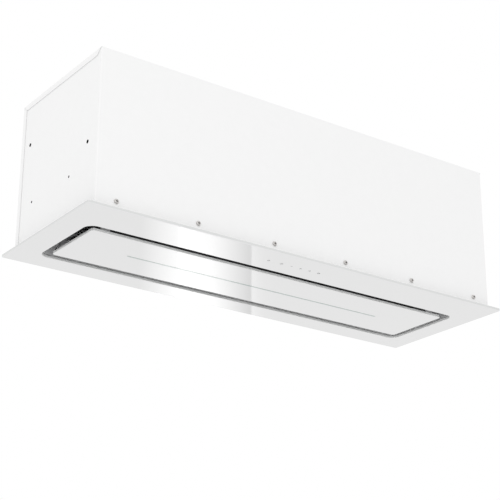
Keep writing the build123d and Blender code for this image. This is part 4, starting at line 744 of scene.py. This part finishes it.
# ---------------------------------------------------------------- filters
def filter_layer(side):
    """Corrugated fine layer that lies on the net of one filter, inside its frame."""
    low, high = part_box(side + "_filter_frame")
    net_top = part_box(side + "_filter_mesh")[1].z
    start = low.y + FRAME_FRONT_BAR + LAYER_PLAY
    end = high.y - FRAME_BACK_BAR - LAYER_PLAY
    left = low.x + FRAME_END_BAR + LAYER_PLAY
    right = high.x - FRAME_END_BAR - LAYER_PLAY
    crest = high.z - LAYER_SHEET - LAYER_PLAY
    folds = 2 * round((end - start) / LAYER_PITCH)
    bm = bmesh.new()
    rows = []
    for i in range(folds + 1):
        y = start + (end - start) * i / folds
        z = crest if i % 2 else net_top + LAYER_PLAY
        rows.append([bm.verts.new((x, y, z + t)) for t in (0.0, LAYER_SHEET) for x in (left, right)])
    for a, b in zip(rows, rows[1:]):
        for i, k in ((0, 1), (1, 3), (3, 2), (2, 0)):
            bm.faces.new((a[i], a[k], b[k], b[i]))
    for row in (rows[0], rows[-1]):
        bm.faces.new((row[0], row[1], row[3], row[2]))
    finish_mesh(side + "_filter_layer", bm, "casing", "filter_aluminium", shade=LAYER_SHADE)


def latch_spring(side):
    """Bowed leaf behind a filter latch, which the latch flattens when it is drawn back."""
    node = side + "_latch_spring"
    low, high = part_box(node)
    middle = (low.x + high.x) / 2
    half = (high.x - low.x - SPRING_LEAF) / 2
    rise = high.y - low.y - SPRING_LEAF
    radius = (half * half + rise * rise) / (2 * rise)
    reach = math.degrees(math.acos((radius - rise) / radius))
    centre = (middle, low.y + SPRING_LEAF / 2 + radius)
    bow = arc(centre, radius, 270 - reach, 270 + reach, SPRING_STEPS)
    bm = bmesh.new()
    flat_strip(bm, bow, SPRING_LEAF, low.z, high.z)
    leaf = finish_mesh(side + "_leaf_spring", bm, "casing", "spring_steel")
    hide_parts(node)
    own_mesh(leaf)


# ---------------------------------------------------------------- collar, gland and rivets
def collar_beads():
    """Two rolled beads that stiffen the collar and hold a clamp."""
    bm = bmesh.new()
    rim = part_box("duct_collar")[1].z
    for below in BEADS_BELOW_RIM:
        low, high = rim - below - BEAD_WIDTH, rim - below
        profile = half_round(low, high, COLLAR_R, BEAD_PROUD)
        inner = COLLAR_R - SINK
        ring = [(inner, low), *profile, (inner, high)]
        turned(bm, middle_of("duct_collar"), ring, COLLAR_STEPS)
    finish_mesh("collar_beads", bm, "casing", "zinc_steel", smooth=True)


def gland_ribs():
    """Grip ribs round the gland's dome nut."""
    centre = middle_of("cable_gland")
    radii = (GLAND_DOME_R - SINK, GLAND_DOME_R + GLAND_RIB_PROUD)
    bm = bmesh.new()
    for i in range(GLAND_RIBS):
        turn = math.tau * i / GLAND_RIBS
        path = [(centre[0] + r * math.cos(turn), centre[1] + r * math.sin(turn)) for r in radii]
        flat_strip(bm, path, GLAND_RIB_WIDTH, *GLAND_RIB_Z)
    finish_mesh("gland_ribs", bm, "casing", "black_plastic")


def gland_seals():
    """Rubber lip in the gland's bore, and the washer round its foot."""
    centre = middle_of("cable_gland")
    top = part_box("cable_gland")[1].z
    lip_low, lip_high = (top - below for below in GLAND_LIP_BELOW_TOP)
    lip = half_round(lip_low, lip_high, -(GLAND_BORE_R + SINK), GLAND_LIP_PROUD)
    inner = GLAND_WASHER_R - GLAND_WASHER_WIDTH
    wall = GLAND_WASHER_R - GLAND_WASHER_ROUND
    rim = half_round(SINK, GLAND_WASHER_HEIGHT, wall, GLAND_WASHER_ROUND)
    bm = bmesh.new()
    turned(bm, centre, [(-r, z) for r, z in lip])
    turned(bm, centre, [(inner, SINK), *rim, (inner, GLAND_WASHER_HEIGHT)])
    finish_mesh("gland_seals", bm, "casing", "rubber", smooth=True)


def rivet_mandrels():
    """Broken-off mandrels in the heads of the blind rivets."""
    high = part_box("shell_rivets")[1]
    end = high.x - RIVET_HEAD_R
    y = middle_of("shell_rivets")[1]
    stub = dome(high.z - SINK, MANDREL_R, SINK + MANDREL_PROUD)
    bm = bmesh.new()
    for i in range(RIVET_COUNT):
        x = end * (2 * i / (RIVET_COUNT - 1) - 1)
        turned(bm, (x, y), stub, MANDREL_STEPS)
    finish_mesh("rivet_mandrels", bm, "casing", "motor_steel", smooth=True)


# ---------------------------------------------------------------- door tray
def tray_beads():
    """Two long beads pressed into the floor of the door's tray."""
    low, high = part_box("panel_tray")
    ends = (low.x + TRAY_BEAD_END, high.x - TRAY_BEAD_END)
    floor_z = low.z + TRAY_SHEET - SINK / 2
    bm = bmesh.new()
    for y in (low.y + TRAY_BEAD_SIDE, high.y - TRAY_BEAD_SIDE):
        long_bead(bm, *ends, y, floor_z, TRAY_BEAD_WIDTH, TRAY_BEAD)
    finish_mesh("tray_beads", bm, "door_panel", "dark_paint", smooth=True)


def channel_rivets():
    """Rivets along the light channel."""
    low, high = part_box("light_channel")
    first, last = low.x + CHANNEL_RIVET_END, high.x - CHANNEL_RIVET_END
    y = middle_of("light_channel")[1]
    head = dome(high.z - SINK, CHANNEL_RIVET_R, SINK + CHANNEL_RIVET)
    bm = bmesh.new()
    for i in range(CHANNEL_RIVETS):
        x = first + (last - first) * i / (CHANNEL_RIVETS - 1)
        turned(bm, (x, y), head, CHANNEL_RIVET_STEPS)
    finish_mesh("channel_rivets", bm, "door_panel", "screw_steel", smooth=True)


# ---------------------------------------------------------------- stage, light and camera
def stage_plane(name, corners, material):
    """Flat piece of the stage, which isn't part of the hood."""
    mesh = bpy.data.meshes.new(name)
    mesh.from_pydata(corners, [], [(0, 1, 2, 3)])
    mesh.uv_layers.new(name="UVMap")
    mesh.materials.append(material)
    plane = bpy.data.objects.new(name, mesh)
    bpy.context.scene.collection.objects.link(plane)
    return plane


def empty_material(name):
    """Material with an empty node tree and its surface socket."""
    material = bpy.data.materials.new(name)
    material.use_nodes = True
    tree = material.node_tree
    tree.nodes.clear()
    out = tree.nodes.new("ShaderNodeOutputMaterial")
    return material, tree, out.inputs["Surface"]


def shown_white(tree):
    """One where the camera, a reflection or a transparent piece looks at it."""
    path = tree.nodes.new("ShaderNodeLightPath")
    total = path.outputs["Is Camera Ray"]
    for output in ("Is Glossy Ray", "Is Transmission Ray"):
        node = tree.nodes.new("ShaderNodeMath")
        node.operation = "MAXIMUM"
        tree.links.new(total, node.inputs[0])
        tree.links.new(path.outputs[output], node.inputs[1])
        total = node.outputs["Value"]
    return total


def floor():
    """Pale floor that shows as plain white and throws light back as its own colour does."""
    material, tree, surface = empty_material("pale_floor")
    diffuse = tree.nodes.new("ShaderNodeBsdfDiffuse")
    diffuse.inputs["Color"].default_value = FLOOR_COLOR
    white = tree.nodes.new("ShaderNodeEmission")
    mix = tree.nodes.new("ShaderNodeMixShader")
    tree.links.new(shown_white(tree), mix.inputs["Fac"])
    tree.links.new(diffuse.outputs["BSDF"], mix.inputs[1])
    tree.links.new(white.outputs["Emission"], mix.inputs[2])
    tree.links.new(mix.outputs["Shader"], surface)
    h = FLOOR_HALF
    corners = [(x, y, FLOOR_Z) for x, y in ((-h, -h), (h, -h), (h, h), (-h, h))]
    stage_plane("floor", corners, material)


def card_glow(tree):
    """Brightness across the card, from its stops."""
    place = tree.nodes.new("ShaderNodeTexCoord")
    axis = tree.nodes.new("ShaderNodeSeparateXYZ")
    tree.links.new(place.outputs["Generated"], axis.inputs["Vector"])
    curve = tree.nodes.new("ShaderNodeFloatCurve")
    points = curve.mapping.curves[0].points
    top = max(level for _, level in CARD_STOPS)
    stops = [(position, level / top) for position, level in CARD_STOPS]
    points[0].location = stops[0]
    points[1].location = stops[-1]
    for position, level in stops[1:-1]:
        points.new(position, level)
    for point in points:
        point.handle_type = "VECTOR"
    curve.mapping.update()
    tree.links.new(axis.outputs["X"], curve.inputs["Value"])
    scale = tree.nodes.new("ShaderNodeMath")
    scale.operation = "MULTIPLY"
    scale.inputs[1].default_value = top
    tree.links.new(curve.outputs["Value"], scale.inputs[0])
    return scale.outputs["Value"]


def light_card():
    """Bright card behind and below the hood, which the glass reflects as a soft band."""
    material, tree, surface = empty_material("light_card")
    glow = tree.nodes.new("ShaderNodeEmission")
    tree.links.new(card_glow(tree), glow.inputs["Strength"])
    tree.links.new(glow.outputs["Emission"], surface)
    ahead = Vector((CAMERA_FORWARD[0], CAMERA_FORWARD[1], 0)).normalized()
    right = Vector((ahead.y, -ahead.x, 0))
    foot = Vector((CAMERA_AT[0], CAMERA_AT[1], 0)) + ahead * CARD_DISTANCE
    left_foot, right_foot = foot + right * CARD_LEFT, foot + right * CARD_RIGHT
    spots = ((left_foot, CARD_LOW), (right_foot, CARD_LOW), (right_foot, CARD_HIGH), (left_foot, CARD_HIGH))
    card = stage_plane("light_card", [(spot.x, spot.y, z) for spot, z in spots], material)
    card.visible_camera = False
    card.visible_diffuse = False
    card.visible_shadow = False
    card.visible_transmission = False


def world():
    """Plain white surround."""
    scene = bpy.context.scene
    scene.world = bpy.data.worlds.new("studio")
    scene.world.use_nodes = True
    background = scene.world.node_tree.nodes["Background"]
    background.inputs["Color"].default_value = (1.0, 1.0, 1.0, 1.0)
    background.inputs["Strength"].default_value = WORLD_LEVEL


def soft_light(name, at, size, power):
    """Square lamp that looks at the middle of the hood."""
    lamp = bpy.data.lights.new(name, "AREA")
    lamp.shape = "SQUARE"
    lamp.size = size
    lamp.energy = power
    holder = bpy.data.objects.new(name, lamp)
    bpy.context.scene.collection.objects.link(holder)
    holder.location = at
    holder.rotation_euler = (Vector(AIM) - Vector(at)).to_track_quat("-Z", "Y").to_euler()


def camera():
    """Camera that sees the hood as the photograph does."""
    data = bpy.data.cameras.new("camera")
    data.sensor_width = SENSOR
    data.sensor_fit = "HORIZONTAL"
    data.lens = FOCAL_PX / FRAME_PX * SENSOR
    data.clip_end = CLIP_END
    holder = bpy.data.objects.new("camera", data)
    bpy.context.scene.collection.objects.link(holder)
    right = Vector(CAMERA_RIGHT)
    up = -Vector(CAMERA_DOWN)
    back = -Vector(CAMERA_FORWARD)
    turn = Matrix((right, up, back)).transposed().to_4x4()
    holder.matrix_world = Matrix.Translation(Vector(CAMERA_AT)) @ turn
    bpy.context.scene.camera = holder


# ---------------------------------------------------------------- the scene
dress_nodes()
for x, size, label, draw in MARKS:
    mark("key_mark_" + label, x, size, draw())
for side in ("left", "right"):
    filter_layer(side)
    latch_spring(side)
collar_beads()
gland_ribs()
gland_seals()
rivet_mandrels()
tray_beads()
channel_rivets()

floor()
light_card()
world()
soft_light("key_light", KEY_AT, KEY_SIZE, KEY_POWER)
soft_light("fill_light", FILL_AT, FILL_SIZE, FILL_POWER)
camera()
bpy.context.scene.view_settings.view_transform = "Standard"
